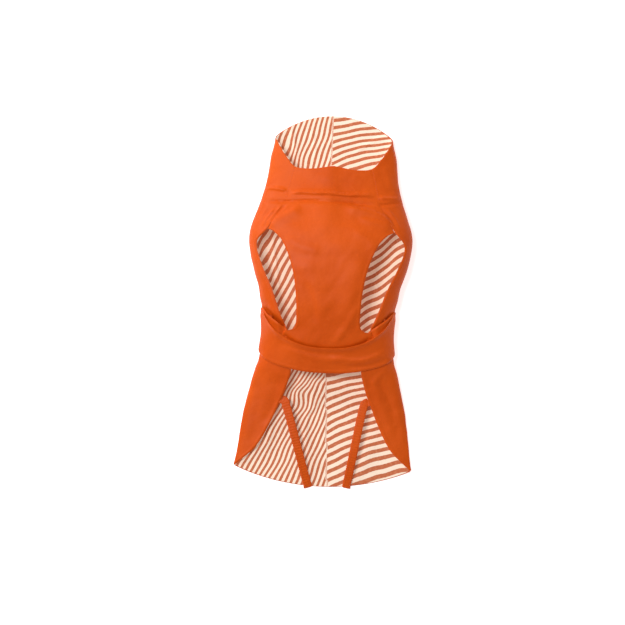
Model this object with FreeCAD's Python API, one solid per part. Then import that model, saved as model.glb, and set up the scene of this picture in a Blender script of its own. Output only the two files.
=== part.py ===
"""Dog raincoat, lying on its back with the belly side up.

The coat is a flattened tube of waterproof shell cloth with a striped lining.  +Y runs from the tail
hem to the nape, X across, Z up from the floor that the back panel rests on.  The chest panel, the
leg holes, the belly belt and the leg straps face up.  All sizes are in millimetres.

Each panel is a four-sided patch laid on the tube, with a thickness.
"""
import FreeCAD, Part
import os
from math import hypot, sqrt

from FreeCAD import Vector

# ---- driving sizes -----------------------------------------------------------------------------
# places along the coat
nape_top_y = 250.0
collar_corner_y = 216.0
throat_edge_y = 180.0
collar_seam_y = 141.0
collar_seam_drop = 8.0
leg_hole_top_y = 97.0
shoulder_y = 78.0
chest_y = 41.0
waist_y = -45.0
flap_y = -91.0
hem_corner_y = -222.0
hem_centre_y = -247.0

# half widths of the coat
collar_half_width = 79.0
collar_base_half_width = 94.0
shoulder_half_width = 108.8
waist_half_width = 88.0
hem_half_width = 118.8

# heights of the coat above the floor
collar_height = 30.0
collar_base_height = 43.0
chest_height = 60.0
waist_height = 46.0
hem_height = 11.0

# cloth
shell_thickness = 1.2
lining_thickness = 1.0
ply_gap = 0.1
seam_gap = 0.2
floor_flat = 0.3
flap_tip_gap = 3.0

# chest panel and throat panel
chest_tip_x = 84.0
chest_waist_half_width = 42.0
chest_end_y = -84.0
strip_step_below_hole = 7.0
strip_step_at_flap = 2.0
strip_step_past_flap = 1.5
throat_base_x = 60.0
throat_top_x = 51.0
binding_width = 2.4
binding_proud = 0.5
binding_gap = 0.3

# belly belt
belt_centre_top_y = -61.0
belt_centre_bottom_y = -94.0
belt_side_top_y = -9.0
belt_side_bottom_y = -75.0
belt_front_half_width = 62.0
belt_joint_gap = 0.8
belt_wrap_below = 7.0
patch_thickness = 0.8
patch_gap = 0.3
patch_length = 44.0
patch_inner_x = 74.0

# leg straps
strap_width = 10.0
strap_thickness = 2.4
strap_ply = 0.6
strap_rise = 5.0
strap_top_inset = 62.8
strap_top_x = hem_half_width - strap_top_inset
strap_top_y = -131.0
strap_hem_x_left = -19.0
strap_hem_x_right = 33.0
strap_seat_gap = 0.3
strap_past_hem = 2.0
tab_length = 14.0
tab_width = 13.0
tab_thickness = 0.8

# ---- worked out from them ----------------------------------------------------------------------
lining_start = shell_thickness + ply_gap
cloth_depth = lining_start + lining_thickness
loop_out = ply_gap
hook_out = loop_out + patch_thickness + patch_gap
belt_lining_out = hook_out + patch_thickness + ply_gap
belt_shell_out = belt_lining_out + lining_thickness + ply_gap
belt_out = belt_shell_out + shell_thickness

# the tube: place along the coat, half width, height
stations = (
    (hem_centre_y - 15.0, hem_half_width + 1.5, hem_height - 3.0),
    (hem_corner_y, hem_half_width, hem_height),
    (-199.0, hem_half_width - 3.5, hem_height + 3.0),
    (-167.0, hem_half_width - 7.5, hem_height + 6.0),
    (-143.0, hem_half_width - 11.5, hem_height + 9.0),
    (-111.0, hem_half_width - 19.0, hem_height + 16.0),
    (-79.0, waist_half_width + 4.5, waist_height - 9.0),
    (waist_y, waist_half_width, waist_height),
    (-10.0, waist_half_width + 2.5, waist_height + 8.0),
    (17.0, waist_half_width + 6.0, chest_height - 2.0),
    (chest_y, shoulder_half_width - 7.5, chest_height),
    (57.0, shoulder_half_width - 3.0, chest_height),
    (shoulder_y, shoulder_half_width, chest_height - 1.0),
    (leg_hole_top_y, shoulder_half_width - 1.5, chest_height - 5.0),
    (113.0, collar_base_half_width + 8.0, collar_base_height + 7.0),
    (collar_seam_y - 4.0, collar_base_half_width, collar_base_height),
    (161.0, collar_base_half_width - 6.0, collar_base_height - 6.0),
    (193.0, collar_half_width + 5.0, collar_height + 3.0),
    (collar_corner_y, collar_half_width, collar_height),
    (nape_top_y + 12.0, collar_half_width - 3.0, collar_height - 4.0),
)
BACK_SHARE = 0.42  # of the height that lies below the widest line
BACK_FULLNESS = 4.5  # power of the section's curve: the back lies almost flat
BELLY_FULLNESS = 2.3  # the belly side is a softer arch
SECTION_SAMPLES = 240

# width of the side panel's belly-side strip, from the collar seam to the hem corner
strip_widths = (
    (collar_seam_y - 4.0, collar_base_half_width - throat_base_x),
    (leg_hole_top_y, 23.0),
    (shoulder_y, 10.0),
    (49.0, 12.0),
    (28.0, 14.8),
    (-10.0, 23.3),
    (-59.0, waist_half_width - chest_waist_half_width - strip_step_below_hole),
    (flap_y, waist_half_width - chest_waist_half_width + strip_step_at_flap),
    (-118.0, waist_half_width - chest_waist_half_width + strip_step_past_flap),
    (-132.0, 45.3),
    (-163.0, 38.0),
    (-195.0, 24.5),
    (-213.0, 9.0),
    (hem_corner_y, 0.0),
)


# ---- smooth curves through named places --------------------------------------------------------
def hermite(keys, values, key):
    """Value at a key, on a smooth curve through rising keys and their values."""
    key = min(max(key, keys[0]), keys[-1])
    i = max(n for n in range(len(keys) - 1) if keys[n] <= key)

    def slope(n):
        low, high = max(n - 1, 0), min(n + 1, len(keys) - 1)
        return (values[high] - values[low]) / (keys[high] - keys[low])

    span = keys[i + 1] - keys[i]
    t = (key - keys[i]) / span
    return (
        (2 * t**3 - 3 * t**2 + 1) * values[i]
        + (t**3 - 2 * t**2 + t) * span * slope(i)
        + (3 * t**2 - 2 * t**3) * values[i + 1]
        + (t**3 - t**2) * span * slope(i + 1)
    )


def column(table, index, y):
    rows = sorted(table)
    return hermite([r[0] for r in rows], [r[index] for r in rows], y)


def half_width(y):
    return column(stations, 1, y)


def height(y):
    return column(stations, 2, y)


def mid_height(y):
    """Height of the coat's widest line above the floor."""
    return BACK_SHARE * height(y)


def strip_edge_x(y):
    """Inner edge of the side panel's belly-side strip."""
    return half_width(y) - column(strip_widths, 1, y)


def path(points):
    """Smooth path through points, as a function from 0 to 1 along it."""
    places = [0.0]
    for a, b in zip(points, points[1:]):
        places.append(places[-1] + hypot(b[0] - a[0], b[1] - a[1]))

    def at(t):
        key = t * places[-1]
        return tuple(hermite(places, [p[k] for p in points], key) for k in (0, 1))

    return at


# ---- places on the tube ------------------------------------------------------------------------
def at_share(share, y, out, side):
    """Point at a share of the half width, on the belly (side 1) or the back (side -1)."""
    x = share * (half_width(y) + out)
    if side > 0:
        rise, power = (1 - BACK_SHARE) * height(y) + out, BELLY_FULLNESS
    else:
        rise, power = mid_height(y) + floor_flat + out, BACK_FULLNESS
    return Vector(x, y, mid_height(y) + side * rise * sqrt(max(1 - abs(share) ** power, 0.0)))


def belly(x, y, out):
    """Point on the belly side above a place in plan, out from the shell's outer face."""
    return at_share(x / half_width(y), y, out, 1)


section_tables = {}


def section_table(y, side):
    """Shares of the half width from flank to centre, each with its run round from the flank."""
    key = (round(y, 4), side)
    if key not in section_tables:
        shares = [1 - (i / SECTION_SAMPLES) ** 3 for i in range(SECTION_SAMPLES + 1)]
        points = [at_share(share, y, 0.0, side) for share in shares]
        runs = [0.0]
        for a, b in zip(points, points[1:]):
            runs.append(runs[-1] + (b - a).Length)
        section_tables[key] = ([r / runs[-1] for r in runs], shares)
    return section_tables[key]


def pick(keys, values, key):
    """Straight-line lookup between rising keys."""
    low, high = 0, len(keys) - 1
    while high - low > 1:
        middle = (low + high) // 2
        if keys[middle] <= key:
            low = middle
        else:
            high = middle
    t = (key - keys[low]) / (keys[high] - keys[low])
    return values[low] + (values[high] - values[low]) * t


def wrap(turn, y, out):
    """Point round the right side: turn -1 at the centre back, 0 at the flank, 1 at the belly."""
    side = 1 if turn >= 0 else -1
    runs, shares = section_table(y, side)
    return at_share(pick(runs, shares, min(abs(turn), 1.0)), y, out, side)


def turn_at(x, y):
    """Turn of a place in plan on the belly side."""
    runs, shares = section_table(y, 1)
    return pick([-share for share in shares], runs, -x / half_width(y))


# ---- panels ------------------------------------------------------------------------------------
def coons(bottom, top, left, right):
    """Four-sided patch between its edges; each edge runs from 0 to 1."""

    def at(s, t):
        return tuple(
            (1 - t) * bottom(s)[k]
            + t * top(s)[k]
            + (1 - s) * left(t)[k]
            + s * right(t)[k]
            - (1 - s) * (1 - t) * left(0)[k]
            - s * (1 - t) * right(0)[k]
            - (1 - s) * t * left(1)[k]
            - s * t * right(1)[k]
            for k in (0, 1)
        )

    return at


def even_curve(points):
    """Spline through points, evenly paced."""
    curve = Part.BSplineCurve()
    curve.interpolate(Points=points, Parameters=[float(i) for i in range(len(points))])
    return curve


def skin(grid):
    """Smooth surface through a grid of points, evenly paced both ways."""
    rows = [even_curve(row) for row in grid]
    cross = [even_curve(list(poles)) for poles in zip(*(r.getPoles() for r in rows))]
    surface = Part.BSplineSurface()
    surface.buildFromPolesMultsKnots(
        [list(poles) for poles in zip(*(c.getPoles() for c in cross))],
        cross[0].getMultiplicities(),
        rows[0].getMultiplicities(),
        cross[0].getKnots(),
        rows[0].getKnots(),
        False,
        False,
        3,
        3,
    )
    return surface


def rim(surface):
    """The four edges of a surface: first row, last row, first column, last column."""
    u0, u1, v0, v1 = surface.bounds()
    return [c.toShape() for c in (surface.uIso(u0), surface.uIso(u1), surface.vIso(v0), surface.vIso(v1))]


def solid(faces):
    shell = Part.makeShell(faces)
    shell.sewShape()
    body = Part.makeSolid(shell)
    if body.Volume < 0:
        body.reverse()
    return body


def cloth(place, patches, outer, inner, columns=12, rows=(12,)):
    """Cloth between two distances out, over patches stacked one above the other."""
    faces = []
    for number, (patch, count) in enumerate(zip(patches, rows)):
        skins = []
        for out in (outer, inner):
            grid = [
                [place(*patch(i / columns, j / count), out) for i in range(columns + 1)]
                for j in range(count + 1)
            ]
            skins.append(skin(grid))
        faces += [s.toShape() for s in skins]
        sides = list(zip(rim(skins[0]), rim(skins[1])))
        keep = sides[2:]
        if number == 0:
            keep.append(sides[0])
        if number == len(patches) - 1:
            keep.append(sides[1])
        faces += [Part.makeRuledSurface(a, b) for a, b in keep]
    return solid(faces)


def mirrored(shape):
    return shape.mirror(Vector(0, 0, 0), Vector(1, 0, 0))


def fixed(value):
    """Edge that stays on one line round the tube or across it, between two places along it."""

    def between(start, end):
        return lambda t: (value, start + (end - start) * t)

    return between


def save(name, shape):
    shape.exportStep(f"parts/{name}.step")
    if not shape.isValid():
        print(f"{name} is not valid")


def save_pair(name, right):
    save(f"{name}_right", right)
    save(f"{name}_left", mirrored(right))


def on_floor(shape):
    """Trim the outer face of the back where it lies flat on the floor."""
    size = 2 * (nape_top_y - hem_centre_y)
    under = Part.makeBox(size, size, 10.0, Vector(-size / 2, -size / 2, -10.0))
    return shape.cut(under)


def collar_seam(x):
    return collar_seam_y - collar_seam_drop * (x / collar_base_half_width) ** 2


def arc_y(x, half, edge_y, centre_y):
    """Hem arc from (half, edge_y) to (0, centre_y)."""
    bow = centre_y - edge_y
    radius = (half**2 + bow**2) / (2 * abs(bow))
    drop = radius - sqrt(radius**2 - min(abs(x), half) ** 2)
    return centre_y - (drop if bow > 0 else -drop)


def hem_y(x):
    return arc_y(x, hem_half_width, hem_corner_y, hem_centre_y)


def nape_y(x):
    return arc_y(x, collar_half_width, collar_corner_y + 2.0, nape_top_y)


LAYERS = (
    ("shell", 0.0, -shell_thickness),
    ("lining", -lining_start, -cloth_depth),
)
GAP = seam_gap / 2
FLANK = 0.004  # turn at which the belly-side panels start, just clear of the back
throat_base_y = collar_seam(throat_base_x)


def seam_y_at(turn, offset):
    """Place of the collar seam along the coat, at a turn round the tube."""
    y = collar_seam_y
    for _ in range(3):
        y = collar_seam(wrap(turn, y, 0.0).x) + offset
    return y


def clear_of_centre(turn, y, out):
    """Point on the right-hand half, kept off the centre seam."""
    point = wrap(turn, y, out)
    return Vector(max(point.x, GAP), point.y, point.z)


def across_back(share, y, out):
    """Point on the back, from -1 at the left flank to 1 at the right flank."""
    point = wrap(abs(share) - 1.0, y, out)
    return Vector(point.x if share >= 0 else -point.x, point.y, point.z)


# back panel: the half of the tube that lies on the floor, with a centre seam
def back_panel():
    def hem_row(s):
        return (s - 1, hem_y(hem_half_width * s))

    def seam_row(s):
        return (s - 1, seam_y_at(s - 1, -GAP))

    def edge(s):
        return fixed(s - 1.0)(hem_row(s)[1], seam_row(s)[1])

    patch = coons(hem_row, seam_row, edge(0), edge(1))
    for layer, outer, inner in LAYERS:
        panel = cloth(clear_of_centre, [patch], outer, inner, columns=14, rows=(30,))
        save_pair(f"back_{layer}", on_floor(panel) if layer == "shell" else panel)


# side flaps: the strips that come round the flanks to the leg holes and the tail
def side_flaps():
    low = hem_corner_y + flap_tip_gap
    high = throat_base_y - GAP

    def hem_row(s):
        return (FLANK + (turn_at(strip_edge_x(low), low) - FLANK) * s, low)

    def seam_row(s):
        turn = FLANK + (turn_at(throat_base_x, high) - FLANK) * s
        return (turn, seam_y_at(turn, -GAP))

    def flank(t):
        return (FLANK, low + (seam_row(0)[1] - low) * t)

    def inner_edge(t):
        y = low + (high - low) * t
        return (turn_at(strip_edge_x(y), y), y)

    patch = coons(hem_row, seam_row, flank, inner_edge)
    for layer, outer, inner in LAYERS:
        save_pair(f"side_flap_{layer}", cloth(wrap, [patch], outer, inner, columns=10, rows=(40,)))


# chest panel: throat seam, the inner edges of the leg holes, and the end under the belt
def chest_side_points():
    low = chest_waist_half_width
    return [
        (low + 2.0, chest_end_y),
        (low, -55.0),
        (low, -20.0),
        (low + 2.0, 10.0),
        (low + 8.0, 44.0),
        (low + 21.0, 77.0),
        (chest_tip_x - 9.0, 90.5),
        (chest_tip_x, leg_hole_top_y - 2.0),
    ]


def chest_panel():
    side = path(chest_side_points())
    tip = chest_side_points()[-1]
    foot = chest_side_points()[0]
    top_x = throat_base_x - 1.5
    top_y = collar_seam(top_x) - GAP

    def mirror_edge(edge):
        return lambda t: (-edge(t)[0], edge(t)[1])

    def shoulder(t):
        return (tip[0] + (top_x - tip[0]) * t, tip[1] + (top_y - tip[1]) * t)

    def tip_row(s):
        return (tip[0] * (2 * s - 1), tip[1])

    def foot_row(s):
        return (foot[0] * (2 * s - 1), foot[1])

    def seam_row(s):
        x = top_x * (2 * s - 1)
        return (x, collar_seam(x) - GAP)

    lower = coons(foot_row, tip_row, mirror_edge(side), side)
    upper = coons(tip_row, seam_row, mirror_edge(shoulder), shoulder)
    for layer, outer, inner in LAYERS:
        save(f"chest_{layer}", cloth(belly, [lower, upper], outer, inner, columns=24, rows=(22, 8)))


# leg hole bindings: a folded tape along the chest panel's edge and one along the side strip's
def leg_hole_bindings():
    inner_side = path(chest_side_points()[1:-1])
    y_low, y_high = -52.0, leg_hole_top_y - 18.0

    def along_chest(s, t):
        x, y = inner_side(t)
        return (x + binding_gap + binding_width * s, y - binding_gap * t)

    def along_strip(s, t):
        y = y_low + (y_high - y_low) * t
        return (strip_edge_x(y) - binding_gap - binding_width * (1 - s), y)

    depth = (binding_proud, -cloth_depth - binding_proud)
    pieces = [
        cloth(belly, [edge], *depth, columns=4, rows=(24,))
        for edge in (along_chest, along_strip)
    ]
    save_pair("leg_hole_binding", Part.makeCompound(pieces))


# funnel collar: a back, two sides and a throat panel in front, with a nape flap past the corners
def collar_back():
    def half(s, t):
        low, high = seam_y_at(s - 1, GAP), collar_corner_y - GAP
        return (s - 1, low + (high - low) * t)

    def both(s, t):
        across = 2 * s - 1
        return (across, half(abs(across), t)[1])

    (_, outer, inner), (_, lining_outer, lining_inner) = LAYERS
    shell = cloth(across_back, [both], outer, inner, columns=24, rows=(8,))
    save("collar_back_shell", on_floor(shell))
    save_pair("collar_back_lining", cloth(clear_of_centre, [half], lining_outer, lining_inner, rows=(8,)))


def collar_sides():
    end = turn_at(throat_base_x + GAP, throat_base_y + GAP)

    def seam_row(s):
        turn = FLANK + (end - FLANK) * s
        return (turn, seam_y_at(turn, GAP))

    def rim_row(s):
        """Collar's front edge, from its corner down to the throat seam."""
        y = collar_corner_y - GAP + (throat_edge_y - collar_corner_y + GAP) * s
        x = collar_half_width - (collar_half_width - throat_top_x - GAP) * s**0.9
        return (max(turn_at(min(x, half_width(y)), y), FLANK), y)

    def flank(t):
        return (FLANK, seam_row(0)[1] + (collar_corner_y - GAP - seam_row(0)[1]) * t)

    def throat_edge(t):
        y = seam_row(1)[1] + (throat_edge_y - seam_row(1)[1]) * t
        x = throat_base_x + (throat_top_x - throat_base_x) * t + GAP
        return (turn_at(x, y), y)

    patch = coons(seam_row, rim_row, flank, throat_edge)
    for layer, outer, inner in LAYERS:
        save_pair(f"collar_side_{layer}", cloth(wrap, [patch], outer, inner, columns=12, rows=(10,)))


def throat_panel():
    def seam_row(s):
        x = (throat_base_x - GAP) * (2 * s - 1)
        return (x, collar_seam(x) + GAP)

    def rim_row(s):
        across = 2 * s - 1
        return ((throat_top_x - GAP) * across, throat_edge_y - 1.5 * (1 - across**2) ** 2)

    def side(sign):
        start, end = seam_row(1), rim_row(1)
        return lambda t: (
            sign * (start[0] + (end[0] - start[0]) * t),
            start[1] + (end[1] - start[1]) * t,
        )

    patch = coons(seam_row, rim_row, side(-1), side(1))
    for layer, outer, inner in LAYERS:
        save(f"throat_{layer}", cloth(belly, [patch], outer, inner, columns=16, rows=(8,)))


def nape_flap():
    def half(s, t):
        low = collar_corner_y + GAP
        return (s - 1, low + (nape_y(collar_half_width * s) - low) * t)

    def both(s, t):
        across = 2 * s - 1
        return (across, half(abs(across), t)[1])

    (_, outer, inner), (_, lining_outer, lining_inner) = LAYERS
    save("nape_shell", on_floor(cloth(across_back, [both], outer, inner, columns=24, rows=(5,))))
    save_pair("nape_lining", cloth(clear_of_centre, [half], lining_outer, lining_inner, rows=(5,)))


# belly belt: a front part sewn to the chest panel and two wings that fasten on the flanks
def belt_top_y(x):
    joint = belt_front_half_width
    knots = (0.0, 24.0, 42.0, joint - 7.0, joint, 76.0, waist_half_width + 4.0)
    rises = (0.0, 1.5, 7.5, 18.0, 30.0, 43.0, belt_side_top_y - belt_centre_top_y)
    return belt_centre_top_y + hermite(knots, rises, abs(x))


def belt_bottom_y(x):
    knots = (0.0, 25.0, 50.0, 70.0, waist_half_width + 4.0)
    rises = (0.0, 1.0, 5.0, 11.0, belt_side_bottom_y - belt_centre_bottom_y)
    return belt_centre_bottom_y + hermite(knots, rises, abs(x))


def belly_belt():
    joint = belt_front_half_width

    def edge_row(edge, start, end):
        return lambda s: (start + (end - start) * s, edge(start + (end - start) * s))

    def line(x):
        return fixed(x)(belt_bottom_y(x), belt_top_y(x))

    bottom, top = edge_row(belt_bottom_y, -joint, joint), edge_row(belt_top_y, -joint, joint)
    front = coons(bottom, top, line(-joint), line(joint))

    start_x = joint + belt_joint_gap
    y_low, y_high = belt_bottom_y(start_x), belt_top_y(start_x)
    start_turns = (turn_at(start_x, y_low), turn_at(start_x, y_high))
    end_turn = -belt_wrap_below / 100.0

    def wing_row(edge, start_turn):
        def at(s):
            turn = start_turn + (end_turn - start_turn) * s
            y = edge(start_x)
            for _ in range(4):
                y = edge(wrap(max(turn, 0.0), y, 0.0).x)
            return (turn, y)

        return at

    low_row, high_row = wing_row(belt_bottom_y, start_turns[0]), wing_row(belt_top_y, start_turns[1])

    def joint_line(t):
        y = y_low + (y_high - y_low) * t
        return (turn_at(start_x, y), y)

    def tip(t):
        a, b = low_row(1), high_row(1)
        return (end_turn, a[1] + (b[1] - a[1]) * t)

    wing = coons(low_row, high_row, joint_line, tip)
    for layer, inner, thickness in (
        ("shell", belt_shell_out, shell_thickness),
        ("lining", belt_lining_out, lining_thickness),
    ):
        outer = inner + thickness
        save(f"belt_front_{layer}", cloth(belly, [front], outer, inner, columns=20, rows=(8,)))
        save_pair(f"belt_wing_{layer}", cloth(wrap, [wing], outer, inner, columns=16, rows=(10,)))

    half = chest_waist_half_width - 2.0

    def seam(s, t):
        return (half * (2 * s - 1), chest_end_y + 1.0 + 8.0 * t)

    tape = cloth(belly, [seam], belt_lining_out - ply_gap, ply_gap, columns=12, rows=(4,))
    save("belt_seam_tape", tape)


# hook and loop: the loop patch on the coat's flank, the hook patch inside the belt wing
def fastener_patches():
    centre_y = (belt_side_top_y + belt_side_bottom_y) / 2
    low, high = centre_y - patch_length / 2, centre_y + patch_length / 2

    def patch(s, t):
        y = low + (high - low) * t
        return (turn_at(patch_inner_x, y) * s, y)

    for name, inner in (("loop_patch", loop_out), ("hook_patch", hook_out)):
        outer = inner + patch_thickness
        save_pair(name, cloth(wrap, [patch], outer, inner, columns=10, rows=(6,)))


# leg straps: elastic between two plies of cloth, slung from the side panel's edge to the tail hem
def leg_straps():
    tab_out = -cloth_depth - strap_seat_gap
    for side, sign, hem_x in (("left", -1, strap_hem_x_left), ("right", 1, strap_hem_x_right)):
        under = belly(sign * (strap_top_x + strap_width / 2), strap_top_y, tab_out).z
        seat = under - tab_thickness - strap_seat_gap - strap_thickness / 2 - 1.6
        top = Vector(sign * strap_top_x, strap_top_y, seat)
        floor = wrap(-0.8, hem_y(hem_x), -cloth_depth).z
        end_z = floor + strap_seat_gap + strap_thickness / 2
        end = Vector(hem_x, hem_y(hem_x) - strap_past_hem, end_z)
        along = end - top
        sideways = Vector(-along.y, along.x, 0)
        sideways.normalize()
        up = sideways.cross(along)
        up.normalize()
        if up.z < 0:
            up = up.negative()
        middle = (top + end) * 0.5 + up * strap_rise

        def bar(low, high, width):
            """Bar along the strap's arc, between two heights from its middle."""
            arcs = [Part.Arc(top + up * h, middle + up * h, end + up * h).toShape() for h in (low, high)]
            caps = [Part.makeLine(arcs[0].Vertexes[n].Point, arcs[1].Vertexes[n].Point) for n in (0, 1)]
            face = Part.Face(Part.Wire(Part.__sortEdges__([*arcs, *caps])))
            shape = face.extrude(sideways * width)
            shape.translate(sideways * (-width / 2))
            return shape

        outer, inner = strap_thickness / 2, strap_thickness / 2 - strap_ply
        save(f"leg_strap_upper_{side}", bar(inner, outer, strap_width))
        save(f"leg_strap_under_{side}", bar(-outer, -inner, strap_width))
        core = inner - ply_gap
        save(f"leg_strap_elastic_{side}", bar(-core, core, strap_width - 2.0))

    edge = strip_edge_x(strap_top_y)

    def tab(s, t):
        return (edge - 4.0 + tab_width * s, strap_top_y - tab_length / 2 + tab_length * t)

    save_pair("leg_strap_tab", cloth(belly, [tab], tab_out, tab_out - tab_thickness, columns=4, rows=(4,)))


os.makedirs("parts", exist_ok=True)
back_panel()
side_flaps()
chest_panel()
leg_hole_bindings()
collar_back()
collar_sides()
throat_panel()
nape_flap()
belly_belt()
fastener_patches()
leg_straps()

# the belt's hinge line on the right, for the record
hinge_x = belt_front_half_width + belt_joint_gap / 2
for y in (belt_top_y(hinge_x), (belt_top_y(hinge_x) + belt_bottom_y(hinge_x)) / 2, belt_bottom_y(hinge_x)):
    place = belly(hinge_x, y, belt_out)
    print(f"belt hinge: x {place.x:.2f}, y {place.y:.2f}, z {place.z:.2f}")
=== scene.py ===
"""Looks of a dog raincoat with a striped lining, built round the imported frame."""

import logging
import math
from collections.abc import Callable, Sequence
from dataclasses import dataclass, field
from enum import Enum

import bpy
import bmesh
import numpy as np
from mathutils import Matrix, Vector


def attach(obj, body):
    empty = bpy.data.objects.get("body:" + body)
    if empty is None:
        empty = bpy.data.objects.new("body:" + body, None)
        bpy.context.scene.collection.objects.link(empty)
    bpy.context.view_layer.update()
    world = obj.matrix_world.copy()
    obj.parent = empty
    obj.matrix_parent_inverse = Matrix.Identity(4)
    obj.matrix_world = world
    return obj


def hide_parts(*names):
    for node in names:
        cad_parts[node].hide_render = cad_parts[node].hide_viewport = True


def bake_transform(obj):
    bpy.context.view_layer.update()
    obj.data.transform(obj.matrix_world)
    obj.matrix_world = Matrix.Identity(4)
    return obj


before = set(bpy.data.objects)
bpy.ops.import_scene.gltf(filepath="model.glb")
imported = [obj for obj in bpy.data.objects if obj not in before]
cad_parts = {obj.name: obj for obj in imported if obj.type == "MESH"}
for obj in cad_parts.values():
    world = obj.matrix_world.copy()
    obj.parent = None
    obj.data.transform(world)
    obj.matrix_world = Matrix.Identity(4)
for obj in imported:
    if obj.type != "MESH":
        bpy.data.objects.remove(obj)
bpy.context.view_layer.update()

MM = 0.001
STRIPE_HEM_Y, STRIPE_NAPE_Y = -60, 150  # where the lining's stripes change from one run to the next
SHARE_STEPS = 241  # entries of the form's table, from the flank to the centre
TURN_STEPS = 481  # entries of the same table when read by turn
JUST_BELOW = 0.001  # keeps a table's last entry inside it
SHELL_THICKNESS = 0.9
LINING_OUTER, LINING_INNER = -1.5, -2.2  # the lining's faces, as distances out from the shell
LOG = logging.getLogger("raincoat")

Array = np.ndarray
Point = tuple[float, float]
Place = tuple[float, float, float]
Lift = Callable[[Array, Array, Array], Array]


class Side(Enum):
    """The coat's two mirror-image sides."""

    LEFT = ("left", -1.0)
    RIGHT = ("right", 1.0)

    @property
    def label(self) -> str:
        """The side's name in node names."""
        return self.value[0]

    @property
    def sign(self) -> float:
        """-1 on the left, 1 on the right."""
        return self.value[1]


# ---- curves ------------------------------------------------------------------------------------
def hermite(keys: Sequence[float], values: Sequence[float], key: Array | float) -> Array:
    """Smooth curve through rising keys and their values.

    Args:
        keys: rising keys.
        values: one value for each key.
        key: where to read the curve.

    Returns:
        The curve's values, shaped as key.
    """
    k, v = np.asarray(keys, float), np.asarray(values, float)
    key = np.clip(np.asarray(key, float), k[0], k[-1])
    i = np.clip(np.searchsorted(k, key, side="right") - 1, 0, len(k) - 2)
    low, high = np.maximum(np.arange(len(k)) - 1, 0), np.minimum(np.arange(len(k)) + 1, len(k) - 1)
    slope = (v[high] - v[low]) / (k[high] - k[low])
    span = k[i + 1] - k[i]
    t = (key - k[i]) / span
    return (
        (2 * t**3 - 3 * t**2 + 1) * v[i]
        + (t**3 - 2 * t**2 + t) * span * slope[i]
        + (3 * t**2 - 2 * t**3) * v[i + 1]
        + (t**3 - t**2) * span * slope[i + 1]
    )


def path_through(points: Sequence[Point]) -> Callable[[Array], tuple[Array, Array]]:
    """Smooth path through points in plan, as a function from 0 to 1 along it."""
    runs = np.concatenate([[0.0], np.cumsum([math.dist(a, b) for a, b in zip(points, points[1:])])])
    xs, ys = [p[0] for p in points], [p[1] for p in points]

    def at(t: Array) -> tuple[Array, Array]:
        """Place at a share of the path's length."""
        key = np.asarray(t, float) * runs[-1]
        return hermite(runs, xs, key), hermite(runs, ys, key)

    return at


def smooth_step(edge0: float, edge1: float, value: Array) -> Array:
    """0 before edge0, 1 after edge1, smooth between."""
    t = np.clip((np.asarray(value, float) - edge0) / (edge1 - edge0), 0, 1)
    return t * t * (3 - 2 * t)


def bilinear(table: Array, rows: Array, columns: Array) -> Array:
    """Read a table between its rows and columns.

    Args:
        table: the values, by row and column.
        rows: fractional row numbers.
        columns: fractional column numbers, shaped as rows.

    Returns:
        The values there.
    """
    r, c = rows.astype(int), columns.astype(int)
    fr, fc = rows - r, columns - c
    return (
        table[r, c] * (1 - fr) * (1 - fc)
        + table[r + 1, c] * fr * (1 - fc)
        + table[r, c + 1] * (1 - fr) * fc
        + table[r + 1, c + 1] * fr * fc
    )


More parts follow.
